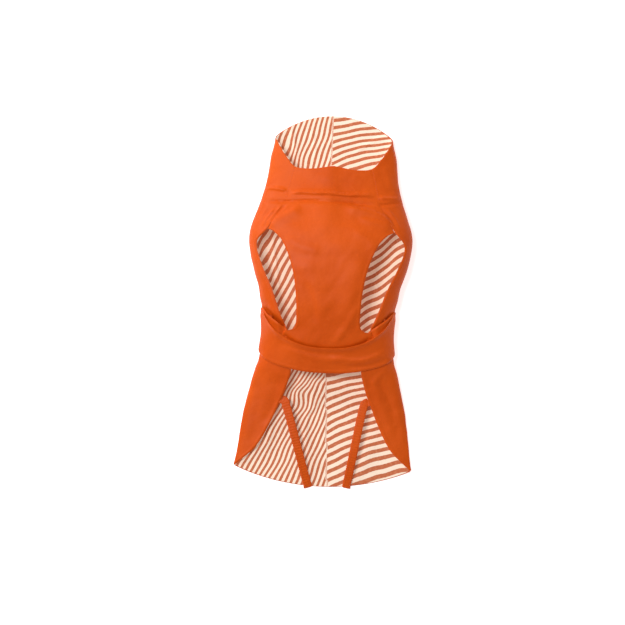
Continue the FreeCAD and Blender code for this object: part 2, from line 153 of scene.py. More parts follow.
# ---- the coat's form ---------------------------------------------------------------------------
@dataclass(frozen=True)
class CoatForm:
    """The flattened tube that every panel lies on, in millimetres."""

    nape_top_y: float = 250.0
    collar_corner_y: float = 216.0
    throat_edge_y: float = 180.0
    collar_seam_y: float = 141.0
    collar_seam_drop: float = 8.0
    leg_hole_top_y: float = 97.0
    shoulder_y: float = 78.0
    chest_y: float = 41.0
    waist_y: float = -45.0
    flap_y: float = -91.0
    hem_corner_y: float = -222.0
    hem_centre_y: float = -247.0
    collar_half_width: float = 79.0
    collar_base_half_width: float = 94.0
    shoulder_half_width: float = 108.8
    waist_half_width: float = 88.0
    hem_half_width: float = 118.8
    collar_height: float = 30.0
    collar_base_height: float = 43.0
    chest_height: float = 60.0
    waist_height: float = 46.0
    hem_height: float = 11.0
    throat_base_x: float = 60.0
    throat_top_x: float = 51.0
    back_share: float = 0.42
    back_fullness: float = 4.5
    belly_fullness: float = 2.3
    tables: dict = field(default_factory=dict, compare=False)

    def stations(self) -> list[tuple[float, float, float]]:
        """Place along the coat, half width and height, from the hem to the nape."""
        return [
            (self.hem_centre_y - 15.0, self.hem_half_width + 1.5, self.hem_height - 3.0),
            (self.hem_corner_y, self.hem_half_width, self.hem_height),
            (-199.0, self.hem_half_width - 3.5, self.hem_height + 3.0),
            (-167.0, self.hem_half_width - 7.5, self.hem_height + 6.0),
            (-143.0, self.hem_half_width - 11.5, self.hem_height + 9.0),
            (-111.0, self.hem_half_width - 19.0, self.hem_height + 16.0),
            (-79.0, self.waist_half_width + 4.5, self.waist_height - 9.0),
            (self.waist_y, self.waist_half_width, self.waist_height),
            (-10.0, self.waist_half_width + 2.5, self.waist_height + 8.0),
            (17.0, self.waist_half_width + 6.0, self.chest_height - 2.0),
            (self.chest_y, self.shoulder_half_width - 7.5, self.chest_height),
            (57.0, self.shoulder_half_width - 3.0, self.chest_height),
            (self.shoulder_y, self.shoulder_half_width, self.chest_height - 1.0),
            (self.leg_hole_top_y, self.shoulder_half_width - 1.5, self.chest_height - 5.0),
            (113.0, self.collar_base_half_width + 8.0, self.collar_base_height + 7.0),
            (self.collar_seam_y - 4.0, self.collar_base_half_width, self.collar_base_height),
            (161.0, self.collar_base_half_width - 6.0, self.collar_base_height - 6.0),
            (193.0, self.collar_half_width + 5.0, self.collar_height + 3.0),
            (self.collar_corner_y, self.collar_half_width, self.collar_height),
            (self.nape_top_y + 12.0, self.collar_half_width - 3.0, self.collar_height - 4.0),
        ]

    def strip_widths(self) -> list[tuple[float, float]]:
        """Width of the side panel's belly-side strip, from the hem corner to the collar seam."""
        return [
            (self.hem_corner_y, 0.0),
            (-213.0, 9.0),
            (-195.0, 24.5),
            (-163.0, 38.0),
            (-132.0, 45.3),
            (-118.0, 47.5),
            (self.flap_y, 48.0),
            (-59.0, 39.0),
            (-10.0, 23.3),
            (28.0, 14.8),
            (49.0, 12.0),
            (self.shoulder_y, 10.0),
            (self.leg_hole_top_y, 23.0),
            (self.collar_seam_y - 4.0, self.collar_base_half_width - self.throat_base_x),
        ]

    def half_width(self, y: Array) -> Array:
        """Half width of the coat."""
        rows = self.stations()
        return hermite([r[0] for r in rows], [r[1] for r in rows], y)

    def height(self, y: Array) -> Array:
        """Height of the coat above the floor."""
        rows = self.stations()
        return hermite([r[0] for r in rows], [r[2] for r in rows], y)

    def strip_edge_x(self, y: Array) -> Array:
        """Inner edge of the side panel's belly-side strip."""
        rows = self.strip_widths()
        return self.half_width(y) - hermite([r[0] for r in rows], [r[1] for r in rows], y)

    def place(self, share: Array, y: Array, face: Array, out: Array, lift: Array) -> Array:
        """Points on the tube.

        Args:
            share: signed share of the half width.
            y: place along the coat.
            face: 1 on the belly, -1 on the back.
            out: distance out from the shell's outer face, carried as the panels are.
            lift: further distance along the surface's normal.

        Returns:
            Points, in millimetres, with a last axis of three.
        """
        share, y, face = np.broadcast_arrays(share, y, face)
        mid, full = self.back_share * self.height(y), self.height(y)
        belly = face > 0
        rise = np.where(belly, full - mid, mid) + out
        power = np.where(belly, self.belly_fullness, self.back_fullness)
        reach = self.half_width(y) + out
        size = np.clip(np.abs(share), 0, 1)
        up = np.sqrt(np.clip(1 - size**power, 0, 1))
        nx = np.sign(share) * size ** (power - 1) * power / 2 / reach
        nz = face * up / np.maximum(rise, 1.0)
        length = np.maximum(np.hypot(nx, nz), 1e-9)
        x = share * reach + lift * nx / length
        z = mid + face * rise * up + lift * nz / length
        return np.stack([x, y * np.ones_like(x), z], -1)

    def _table(self, face: int) -> tuple[Array, Array]:
        """Turn at each y and each u, where u cubed is one less the share of the half width."""
        if face not in self.tables:
            ys = np.arange(self.hem_centre_y - 15.0, self.nape_top_y + 12.0, 1.0)
            u = np.linspace(0, 1, SHARE_STEPS)
            shares = 1 - u**3
            points = self.place(shares[None, :], ys[:, None], face, 0.0, 0.0)
            runs = np.linalg.norm(np.diff(points, axis=1), axis=2).cumsum(1)
            runs = np.concatenate([np.zeros((len(ys), 1)), runs], 1)
            self.tables[face] = (ys, runs)
        return self.tables[face]

    def share_at(self, turn: Array, y: Array) -> tuple[Array, Array, Array]:
        """Share of the half width at a turn round the right-hand side.

        Args:
            turn: -1 at the centre back, 0 at the flank, 1 at the centre belly.
            y: place along the coat.

        Returns:
            The share, the face and the girth distance from the centre back, in millimetres.
        """
        turn, y = np.broadcast_arrays(np.asarray(turn, float), np.asarray(y, float))
        share, girth = np.zeros(turn.shape), np.zeros(turn.shape)
        face = np.where(turn >= 0, 1, -1)
        u = np.linspace(0, 1, SHARE_STEPS)
        for number in (1, -1):
            ys, runs = self._table(number)
            grid = np.linspace(0, 1, TURN_STEPS)
            resampled = np.array([np.interp(grid, row / row[-1], u) for row in runs[::2]])
            rows = np.clip((y - ys[0]) / 2.0, 0, len(resampled) - 1 - JUST_BELOW)
            columns = np.clip(np.abs(turn), 0, 1) * (TURN_STEPS - 1 - JUST_BELOW)
            value = bilinear(resampled, rows, columns)
            here = face == number
            share = np.where(here, 1 - value**3, share)
            total = np.interp(y, ys, runs[:, -1])
            back = np.interp(y, *((self._table(-1)[0], self._table(-1)[1][:, -1])))
            girth = np.where(here, back + total * turn if number > 0 else back * (1 + turn), girth)
        return share, face, girth

    def turn_at(self, x: Array, y: Array) -> Array:
        """Turn of a place in plan on the right of the belly side."""
        x, y = np.broadcast_arrays(np.asarray(x, float), np.asarray(y, float))
        ys, runs = self._table(1)
        u = np.linspace(0, 1, SHARE_STEPS)
        value = np.cbrt(np.clip(1 - np.abs(x) / self.half_width(y), 0, 1))
        rows = np.clip(y - ys[0], 0, len(ys) - 1 - JUST_BELOW)
        columns = np.clip(value, 0, 1) * (SHARE_STEPS - 1 - JUST_BELOW)
        return bilinear(runs / runs[:, -1:], rows, columns)

    def collar_seam(self, x: Array) -> Array:
        """Place of the collar seam along the coat."""
        return self.collar_seam_y - self.collar_seam_drop * (x / self.collar_base_half_width) ** 2

    def arc(self, x: Array, half: float, edge_y: float, centre_y: float) -> Array:
        """Hem arc from (half, edge_y) to (0, centre_y)."""
        bow = centre_y - edge_y
        radius = (half**2 + bow**2) / (2 * abs(bow))
        drop = radius - np.sqrt(radius**2 - np.minimum(np.abs(x), half) ** 2)
        return centre_y - np.sign(bow) * drop

    def hem_y(self, x: Array) -> Array:
        """The tail hem."""
        return self.arc(x, self.hem_half_width, self.hem_corner_y, self.hem_centre_y)

    def rim_y(self, x: Array) -> Array:
        """The funnel's front rim: nearly level at the throat, then up to the nape's corners."""
        keys = [0, 12, 26, 40, 50, 56, 62, 67, 72, 76, self.collar_half_width + 1]
        rise = [1.2, -0.8, -3.0, -3.2, -1.8, 2.4, 10.0, 16.5, 24.5, 31.5, 37.6]
        return self.throat_edge_y + hermite(keys, rise, np.abs(x))

    def nape_y(self, x: Array) -> Array:
        """The nape's edge."""
        return self.arc(x, self.collar_half_width, self.collar_corner_y + 2.0, self.nape_top_y)


FORM = CoatForm()


# ---- folds and wrinkles ------------------------------------------------------------------------
@dataclass(frozen=True)
class Fold:
    """A ridge (or a valley, if its height is negative) that runs along a path in plan."""

    path: tuple[Point, ...]
    height: float
    width: float
    width_right: float = 0.0
    fade: float = 0.22

    def lift(self, x: Array, y: Array) -> Array:
        """How far the fold lifts the cloth.

        Args:
            x: across the coat, in millimetres.
            y: along the coat, in millimetres.

        Returns:
            The lift, in millimetres.
        """
        at = path_through(self.path)
        t = np.linspace(0, 1, 33)
        px, py = at(t)
        best = np.full(x.shape, 1e9)
        along = np.zeros(x.shape)
        hand = np.zeros(x.shape)
        for i in range(len(t) - 1):
            ax, ay, bx, by = px[i], py[i], px[i + 1], py[i + 1]
            dx, dy = bx - ax, by - ay
            s = np.clip(((x - ax) * dx + (y - ay) * dy) / (dx * dx + dy * dy), 0, 1)
            gap = np.hypot(x - ax - s * dx, y - ay - s * dy)
            near = gap < best
            best = np.where(near, gap, best)
            along = np.where(near, (i + s) / (len(t) - 1), along)
            hand = np.where(near, dx * (y - ay) - dy * (x - ax), hand)
        width = np.where(hand < 0, self.width_right or self.width, self.width)
        fade = smooth_step(0, self.fade, along) * smooth_step(0, self.fade, 1 - along)
        return self.height * fade * np.exp(-((best / width) ** 2))


@dataclass(frozen=True)
class Rumple:
    """The soft unevenness of cloth: many shallow waves, seeded."""

    seed: int
    depth: float
    shortest: float = 9.0
    longest: float = 60.0
    count: int = 26

    def lift(self, x: Array, y: Array) -> Array:
        """How far the waves lift the cloth at places in plan."""
        chance = np.random.default_rng(self.seed)
        total = np.zeros(x.shape)
        for _ in range(self.count):
            length = self.shortest * (self.longest / self.shortest) ** chance.random()
            angle, phase = chance.random() * math.pi, chance.random() * 2 * math.pi
            bend, bend_phase = 0.8 * chance.random(), chance.random() * 2 * math.pi
            along = x * math.cos(angle) + y * math.sin(angle)
            across = -x * math.sin(angle) + y * math.cos(angle)
            sway = bend * np.sin(across / length * 2 + bend_phase)
            wave = np.sin(2 * math.pi * along / length + phase + sway)
            total += wave * (length / self.longest) ** 0.9
        return self.depth * total / math.sqrt(self.count)


SHELL_FOLDS: tuple[Fold, ...] = (
    Fold(
        ((-59, 143), (-40, 145), (-20, 144.5), (-4, 145), (20, 143), (40, 144.5), (57, 142)),
        2.7,
        2.6,
        2.6,
        0.12,
    ),
    Fold(((-92, 148), (-78, 149.5), (-60, 146)), 3.0, 2.4, 2.2),
    Fold(((60, 142), (74, 141), (92, 141.5)), 2.2, 2.4, 2.2),
    Fold(
        ((-94, 132), (-76, 132), (-58, 132), (-30, 134), (10, 133), (40, 131), (60, 131)),
        -1.9,
        2.2,
        2.2,
        0.1,
    ),
    Fold(((60, 131), (76, 133), (92, 136)), -1.8, 1.9),
    Fold(((-40, 126), (-60, 115), (-74, 107), (-88, 98)), 2.7, 9.0, 4.4),
    Fold(((-60, 130), (-71, 116), (-83, 100)), -1.0, 1.8),
    Fold(((-55, 128), (-66, 119), (-80, 108)), 0.9, 1.5),
    Fold(((-76, 122), (-86, 109), (-92, 97)), 1.7, 1.8),
    Fold(((-84, 126), (-93, 112), (-99, 98)), 1.3, 2.0),
    Fold(((-66, 128), (-78, 112), (-86, 101)), 1.2, 1.6),
    Fold(((14, 129), (45, 124), (66, 117), (84, 104)), 2.6, 2.6, 8.0),
    Fold(((34, 113), (60, 108), (82, 99)), 1.5, 2.6, 5.0),
    Fold(((62, 130), (76, 116), (87, 100)), -0.8, 1.8),
    Fold(((72, 128), (84, 114), (93, 99)), 1.1, 1.8),
    Fold(((-4, 196), (-5, 160), (-6, 122), (-8, 84)), 2.6, 15.0, 26.0, 0.3),
    Fold(((-40, 62), (-20, 20), (0, -20)), 1.1, 13.0),
    Fold(((48, 62), (30, 10), (22, -36)), 1.3, 12.0),
    Fold(((-62, 86), (-40, 72), (-10, 66)), 0.9, 7.0),
    Fold(((28, 98), (50, 84), (61, 70)), 0.9, 7.0),
    Fold(((-36, 30), (-22, 0), (-16, -34)), -0.9, 6.0),
    Fold(((8, -56), (26, -30), (40, 0)), 0.8, 5.0),
    Fold(((-80, 200), (-84, 175), (-88, 150)), 1.1, 4.0),
    Fold(((66, 186), (74, 170), (80, 150)), 0.9, 4.5),
    Fold(((-104, 60), (-98, 20), (-88, -16)), 1.0, 3.0),
    Fold(((100, 50), (92, 10), (82, -14)), 0.9, 3.0),
)

FLAP_FOLDS: tuple[Fold, ...] = (
    Fold(((-96, -88), (-99, -130), (-106, -190)), 1.9, 7.0),
    Fold(((-62, -96), (-68, -130), (-84, -170)), -1.1, 7.0),
    Fold(((90, -90), (99, -130), (111, -196)), 1.9, 6.0),
    Fold(((60, -94), (74, -130), (98, -186)), 1.2, 6.0),
    Fold(((86, -82), (72, -94), (60, -110)), 1.2, 4.0),
    Fold(((70, -104), (84, -124), (94, -150)), -1.0, 4.0),
)

BELT_SEAT_FOLDS: tuple[Fold, ...] = (
    Fold(((-92, -10), (-80, -22), (-69, -31), (-56, -40)), -11.0, 6.4, 6.4, 0.16),
    Fold(((91, -11), (80, -23), (69, -32), (57, -40)), -6.0, 4.6, 4.6, 0.16),
    Fold(
        ((-62, -45), (-46, -55), (-25, -62), (0, -64.5), (25, -62), (46, -55), (62, -45)),
        -3.2,
        3.6,
        3.6,
        0.06,
    ),
)

LINING_FOLDS: tuple[Fold, ...] = (
    Fold(((-92, 92), (-90, 60), (-78, 20), (-70, -10)), 2.3, 2.2),
    Fold(((-82, 96), (-76, 60), (-70, 20), (-68, -16)), 2.6, 2.4),
    Fold(((-100, 80), (-97, 50), (-90, 26)), 2.0, 2.4),
    Fold(((-62, 240), (-56, 216), (-50, 190)), 1.6, 2.6),
    Fold(((-34, 236), (-28, 214), (-24, 190)), 1.3, 2.2),
    Fold(((74, 226), (50, 216), (26, 200)), 1.6, 2.6),
    Fold(((-12, -96), (-17, -130), (-24, -160), (-22, -200)), 2.0, 3.0),
    Fold(((-34, -104), (-38, -130), (-46, -150)), 1.5, 3.0),
    Fold(((-70, -134), (-72, -170), (-78, -210)), 1.8, 3.0),
    Fold(((-2, -110), (-10, -136), (-18, -150)), 1.4, 2.4),
    Fold(((82, 80), (70, 40), (58, 10)), 1.6, 4.0),
    Fold(((92, 70), (84, 40), (74, 14)), 1.2, 3.0),
)

SHELL_RUMPLE = Rumple(seed=5, depth=0.42)
FLANK_RUMPLE = Rumple(seed=23, depth=0.4, shortest=14.0, longest=50.0, count=18)
LINING_RUMPLE = Rumple(seed=11, depth=0.5, shortest=8.0, longest=46.0)


def belt_rest(x: Array, y: Array) -> Array:
    """Dip of the coat where the belt presses on its flanks."""
    share = np.abs(x) / FORM.half_width(y)
    return -1.8 * smooth_step(-92, -78, y) * smooth_step(6, -8, y) * smooth_step(0.80, 0.98, share)


def flank_lift(x: Array, y: Array, face: Array) -> Array:
    """Unevenness and belt dip round the flank, the same for the shell and the lining."""
    half = FORM.half_width(y)
    reach = (half - np.abs(x)) * np.where(np.asarray(face) > 0, 1.0, -1.0)
    waves = FLANK_RUMPLE.lift(reach + np.where(x > 0, 400.0, 0.0), y)
    return belt_rest(x, y) + waves * np.exp(-((reach / 26.0) ** 2))


def coat_lift(x: Array, y: Array, face: Array) -> Array:
    """Lift of the coat's shell: folds on the belly side, gentle unevenness round the flank."""
    belly = np.asarray(face) > 0
    folds = sum(fold.lift(x, y) for fold in SHELL_FOLDS + FLAP_FOLDS + BELT_SEAT_FOLDS)
    flank = np.clip(1 - (np.abs(x) / FORM.half_width(y)) ** 7, 0, 1)
    soft = SHELL_RUMPLE.lift(x, y)
    return np.where(belly, (folds + soft) * flank, 0.0) + flank_lift(x, y, face)


def lining_lift(x: Array, y: Array, face: Array) -> Array:
    """Lift of the lining: as the shell's, with its own folds towards the inside."""
    belly = np.asarray(face) > 0
    folds = sum(fold.lift(x, y) for fold in LINING_FOLDS)
    soft = LINING_RUMPLE.lift(x, y)
    flank = np.clip(1 - (np.abs(x) / FORM.half_width(y)) ** 8, 0, 1)
    inward = (folds + soft + 0.6) * flank
    back = flank_lift(x, y, face) - np.clip(inward, 0.0, 3.0)
    return np.where(belly, coat_lift(x, y, face), back)


# ---- the lining's stripes ----------------------------------------------------------------------
class Stripes:
    """Phase of the lining's slanting stripes, one cloth on each side of the centre seam."""

    @staticmethod
    def phase(x: Array, y: Array) -> Array:
        """Stripe count at places in plan.

        Args:
            x: across the coat, in millimetres.
            y: along the coat, in millimetres.

        Returns:
            A number that rises by one from stripe to stripe.
        """
        seam = np.interp(y, [-250, -100, 180, 250], [7, 0, -3, -3])
        return np.where(x < seam, Stripes.left(x, y), Stripes.right(x, y))

    @staticmethod
    def left(x: Array, y: Array) -> Array:
        """Left cloth: steep stripes that lean to the right at the top."""

        def bend(cx: float, cy: float, wide: float, tall: float) -> Array:
            """A local kink where the cloth is creased."""
            return np.exp(-(((x - cx) / wide) ** 2) - ((y - cy) / tall) ** 2)

        kinks = 4.2 * bend(-34, -122, 17, 9) - 3.4 * bend(-26, -143, 18, 10)
        kinks = kinks + 2.4 * bend(-12, -108, 10, 8)
        nape_kinks = 2.2 * bend(-74, 178, 9, 40) - 2.6 * bend(-60, 205, 6, 24)
        kinks += nape_kinks + 1.8 * bend(-40, 188, 8, 16)
        kinks += 1.5 * bend(-92, 66, 5, 30) - 1.8 * bend(-83, 50, 5, 34)
        calm = 1 - 0.6 * smooth_step(-60, -40, y) * smooth_step(150, 120, y)
        waves = (0.7 * np.sin(y / 12.5 + x / 21) + 0.5 * np.sin(y / 5.6 - x / 15 + 1.7)) * calm
        shifted = x + kinks + waves
        reach = y + 220
        hem = (shifted - 0.35 * reach) / (1 - 0.0017 * reach) / 7.3
        middle = (shifted - 0.52 * (y - 20)) / 10.0
        nape = (shifted - 0.27 * (y - 215)) / 7.0
        return np.where(y < STRIPE_HEM_Y, hem, np.where(y < STRIPE_NAPE_Y, middle, nape))

    @staticmethod
    def right(x: Array, y: Array) -> Array:
        """Right cloth: shallow stripes that rise to the right."""
        waves = 0.45 * np.sin(x / 9.5 - y / 19) + 0.28 * np.sin(x / 5.2 + y / 14 + 0.6)
        d = x - 5
        hem_slope = 1 - 0.34 * smooth_step(-134, -92, y) - 0.22 * smooth_step(-200, -250, y)
        hem = (y + 200 - (0.60 * d - 0.0024 * d * d) * hem_slope + waves) / (11.0 - 0.012 * d)
        curve = 1.9 * np.sin((x - 62) / 8.6 + y / 60)
        middle = (y - 0.72 * (x - 60) + curve + waves) / 11.4
        e = x + 3
        nape_slope = 1 - 0.5 * smooth_step(188, 246, y)
        nape = (y - (0.5 * e - 0.0021 * e * e) * nape_slope + waves) / 9.6
        return np.where(y < STRIPE_HEM_Y, hem, np.where(y < STRIPE_NAPE_Y, middle, nape))


# ---- meshes ------------------------------------------------------------------------------------
@dataclass
class Grid:
    """A panel's grid of places on the tube: rows along the coat, columns across it."""

    share: Array
    face: Array
    y: Array
    girth: Array

    @staticmethod
    def from_turns(turn: Array, y: Array, side: Side) -> "Grid":
        """Grid from turns round one side."""
        share, face, girth = FORM.share_at(turn, y)
        rows = np.asarray(y, float) * np.ones(share.shape)
        return Grid(share * side.sign, face, rows, girth * side.sign)

    @staticmethod
    def from_plan(x: Array, y: Array) -> "Grid":
        """Grid from places in plan on the belly side."""
        x, y = np.broadcast_arrays(np.asarray(x, float), np.asarray(y, float))
        share = x / FORM.half_width(y)
        back = 1.12 * FORM.half_width(y)
        girth = np.sign(x + 1e-9) * (2 * back - np.abs(x))
        return Grid(share, np.ones(share.shape, int), y.copy(), girth)

    @property
    def x(self) -> Array:
        """Place across the coat, in millimetres."""
        return self.share * FORM.half_width(self.y)

    def points(self, out: Array | float, lift: Array | float) -> Array:
        """Points in millimetres at a distance out and a lift."""
        return FORM.place(self.share, self.y, self.face, out, lift)


@dataclass(frozen=True)
class Attachment:
    """What a piece moves with: one body; or two bodies and a fold line, where the piece is only
    left in place.
    """

    body: str
    other: str = ""
    start: Place = (0.0, 0.0, 0.0)
    end: Place = (0.0, 0.0, 0.0)

    def attach(self, piece: bpy.types.Object) -> None:
        """Make the piece move with its body; with two bodies, only fix its place, unparented."""
        if self.other:
            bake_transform(piece)
        else:
            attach(piece, self.body)


COAT = Attachment("coat")


def even(count: int, low: float = 0.0, high: float = 1.0) -> Array:
    """Evenly spaced numbers, ends included."""
    return np.linspace(low, high, count + 1)


def edged(count: int, length: float) -> Array:
    """Numbers from 0 to 1, evenly spaced but with three more close to each end.

    Args:
        count: steps in the even part.
        length: what 1 stands for, in millimetres.

    Returns:
        The numbers.
    """
    near = np.array([0.0, 0.45, 1.0, 1.7]) / length
    inside = np.linspace(2.6 / length, 1 - 2.6 / length, max(count - 5, 2))
    return np.concatenate([near, inside, 1 - near[::-1]])


def new_object(name: str, mesh: bpy.types.Mesh) -> bpy.types.Object:
    """Object in the scene for a mesh."""
    piece = bpy.data.objects.new(name, mesh)
    bpy.context.scene.collection.objects.link(piece)
    return piece


def closed_sheet(
    name: str,
    outer: Array,
    inner: Array,
    uv: Array,
    stripe: Array | None,
    materials: Sequence[bpy.types.Material],
    bulge: float = 0.35,
) -> bpy.types.Object:
    """Closed cloth sheet between two grids of points, with a rounded rim.

    Args:
        name: the piece's name.
        outer: rows by columns by three, in millimetres.
        inner: the same for the other face.
        uv: rows by columns by two, in metres along the cloth.
        stripe: stripe phase at each place, or None.
        materials: outer face's material, then the inner face's.
        bulge: how far the rim bulges, as a share of the thickness.

    Returns:
        The piece.
    """
    rows, columns = outer.shape[:2]
    index = np.arange(rows * columns).reshape(rows, columns)
    ring = np.concatenate([index[0, :], index[1:, -1], index[-1, -2::-1], index[-2:0:-1, 0]])
    flat_outer, flat_inner = outer.reshape(-1, 3), inner.reshape(-1, 3)
    inward = np.concatenate(
        [
            (outer[0] - outer[min(1, rows - 1)]),
            (outer[1:, -1] - outer[1:, -2]),
            (outer[-1, -2::-1] - outer[-2, -2::-1]),
            (outer[-2:0:-1, 0] - outer[-2:0:-1, 1]),
        ]
    )
    inward /= np.maximum(np.linalg.norm(inward, axis=1, keepdims=True), 1e-6)
    thickness = np.linalg.norm(flat_outer[ring] - flat_inner[ring], axis=1, keepdims=True)
    rim = (flat_outer[ring] + flat_inner[ring]) / 2 + inward * thickness * bulge
    count = rows * columns
    points = np.concatenate([flat_outer, flat_inner, rim]) * MM
    a, b, c, d = (index[:-1, :-1], index[:-1, 1:], index[1:, 1:], index[1:, :-1])
    top = np.stack([a, b, c, d], -1).reshape(-1, 4)
    bottom = np.stack([d, c, b, a], -1).reshape(-1, 4) + count
    here, after = np.arange(len(ring)), np.roll(np.arange(len(ring)), -1)
    upper = np.stack([ring[after], ring[here], 2 * count + here, 2 * count + after], -1)
    lower = np.stack(
        [2 * count + after, 2 * count + here, ring[here] + count, ring[after] + count], -1
    )
    faces = np.concatenate([top, bottom, upper, lower])
    mesh = bpy.data.meshes.new(name)
    mesh.from_pydata(points.tolist(), [], faces.tolist())
    for material in materials:
        mesh.materials.append(material)
    which = np.zeros(len(faces), np.int32)
    which[len(top) : len(top) + len(bottom)] = len(materials) - 1
    mesh.polygons.foreach_set("material_index", which)
    flat_uv = uv.reshape(-1, 2)
    all_uv = np.concatenate([flat_uv, flat_uv, flat_uv[ring]])
    layer = mesh.uv_layers.new(name="cloth")
    corner = np.zeros(len(mesh.loops), np.int32)
    mesh.loops.foreach_get("vertex_index", corner)
    layer.data.foreach_set("uv", all_uv[corner].astype(np.float32).ravel())
    if stripe is not None:
        flat = stripe.reshape(-1)
        attribute = mesh.attributes.new("stripe", "FLOAT", "POINT")
        values = np.concatenate([flat, flat, flat[ring]]).astype(np.float32)
        attribute.data.foreach_set("value", values)
    work = bmesh.new()
    work.from_mesh(mesh)
    bmesh.ops.remove_doubles(work, verts=work.verts, dist=2e-5)
    bmesh.ops.dissolve_degenerate(work, edges=work.edges, dist=1e-6)
    bmesh.ops.recalc_face_normals(work, faces=work.faces)
    work.to_mesh(mesh)
    work.free()
    mesh.polygons.foreach_set("use_smooth", np.ones(len(mesh.polygons), bool))
    mesh.set_sharp_from_angle(angle=math.radians(38))
    mesh.update()
    return new_object(name, mesh)


def cloth_area(points: Array) -> float:
    """Area of a grid of points, in square metres."""
    a, b, c, d = points[:-1, :-1], points[:-1, 1:], points[1:, 1:], points[1:, :-1]
    one = np.linalg.norm(np.cross(b - a, c - a), axis=-1)
    two = np.linalg.norm(np.cross(c - a, d - a), axis=-1)
    return float((one + two).sum() / 2) * MM * MM


def declare_sheet(
    points: Array
) -> None:
    """Work out a piece's flat area and size as a cut sheet of cloth; the results are not kept."""
    area = cloth_area(points)
    low, high = points.reshape(-1, 3).min(0), points.reshape(-1, 3).max(0)
    width, length = (high - low)[:2] * MM
    width = max(width, area / length / 0.98)
    area = min(area, width * length)


# ---- shader graphs -----------------------------------------------------------------------------
class Value:
    """A shader socket that takes part in expressions."""

    def __init__(self, graph: "Graph", socket: bpy.types.NodeSocket) -> None:
        """Wrap a socket of a graph."""
        self.graph, self.socket = graph, socket

    def _math(self, operation: str, *others: "Value | float") -> "Value":
        """Math node on this value and others."""
        inputs = {0: self, **dict(enumerate(others, 1))}
        return self.graph.node("ShaderNodeMath", {"operation": operation}, inputs)

    def __add__(self, other: "Value | float") -> "Value":
        """Sum."""
        return self._math("ADD", other)

    __radd__ = __add__

    def __sub__(self, other: "Value | float") -> "Value":
        """Difference."""
        return self._math("SUBTRACT", other)

    def __rsub__(self, other: float) -> "Value":
        """Reflected difference."""
        return self.graph.node("ShaderNodeMath", {"operation": "SUBTRACT"}, {0: other, 1: self})

    def __mul__(self, other: "Value | float") -> "Value":
        """Product."""
        return self._math("MULTIPLY", other)

    __rmul__ = __mul__

    def sine(self) -> "Value":
        """Sine."""
        return self._math("SINE")

    def fraction(self) -> "Value":
        """Fractional part."""
        return self._math("FRACT")

    def clamp_between(self, low: float, high: float) -> "Value":
        """0 at low, 1 at high, smooth between."""
        return self.graph.node(
            "ShaderNodeMapRange",
            {"interpolation_type": "SMOOTHSTEP"},
            {"Value": self, "From Min": low, "From Max": high},
        )

    def size(self) -> "Value":
        """Absolute value."""
        return self._math("ABSOLUTE")


class Graph:
    """A material's node tree."""

    def __init__(self, name: str) -> None:
        """Start an empty material."""
        self.material = bpy.data.materials.new(name)
        self.material.use_nodes = True
        self.tree = self.material.node_tree
        self.tree.nodes.clear()

    def raw(
        self, kind: str, settings: dict | None = None, inputs: dict | None = None
    ) -> bpy.types.Node:
        """Add a node.

        Args:
            kind: the node's type.
            settings: its properties, set first; a ramp's stops go under "stops".
            inputs: values or links of its sockets, by name or number.

        Returns:
            The node.
        """
        node = self.tree.nodes.new(kind)
        for key, value in (settings or {}).items():
            if key == "stops":
                ramp = node.color_ramp
                while len(ramp.elements) < len(value):
                    ramp.elements.new(0.5)
                for element, (place, colour) in zip(ramp.elements, value):
                    element.position, element.color = place, colour
            else:
                setattr(node, key, value)
        for key, value in (inputs or {}).items():
            socket = node.inputs[key]
            if isinstance(value, Value):
                self.tree.links.new(value.socket, socket)
            else:
                socket.default_value = value
        return node

    def node(
        self,
        kind: str,
        settings: dict | None = None,
        inputs: dict | None = None,
        output: str | int = 0,
    ) -> Value:
        """Add a node and take one of its outputs."""
        return Value(self, self.raw(kind, settings, inputs).outputs[output])

    def mix(self, factor: Value | float, a: Value | tuple, b: Value | tuple) -> Value:
        """Mix two colours."""
        return self.node("ShaderNodeMix", {"data_type": "RGBA"}, {0: factor, 6: a, 7: b}, 2)

    def noise(self, scale: float, detail: float, vector: Value, roughness: float = 0.55) -> Value:
        """Noise between 0 and 1."""
        inputs = {"Vector": vector, "Scale": scale, "Detail": detail, "Roughness": roughness}
        return self.node("ShaderNodeTexNoise", None, inputs)

    def bump(
        self, height: Value, distance: float, strength: float = 1.0, normal: Value | None = None
    ) -> Value:
        """Bump from a height."""
        inputs = {"Height": height, "Distance": distance, "Strength": strength}
        if normal is not None:
            inputs["Normal"] = normal
        return self.node("ShaderNodeBump", None, inputs)

    def position(self) -> Value:
        """Place on the piece, in metres."""
        return self.node("ShaderNodeTexCoord", None, None, "Object")

    def cloth_place(self) -> tuple[Value, Value]:
        """Places across and along the cloth, in metres."""
        uv = self.node("ShaderNodeUVMap", {"uv_map": "cloth"})
        split = self.raw("ShaderNodeSeparateXYZ", None, {0: uv})
        return Value(self, split.outputs[0]), Value(self, split.outputs[1])

    def finish(self, inputs: dict) -> bpy.types.Material:
        """Close the graph with a surface shader."""
        shader = self.raw("ShaderNodeBsdfPrincipled", None, inputs)
        end = self.raw("ShaderNodeOutputMaterial")
        self.tree.links.new(shader.outputs[0], end.inputs["Surface"])
        return self.material


Colour = tuple[float, float, float, float]


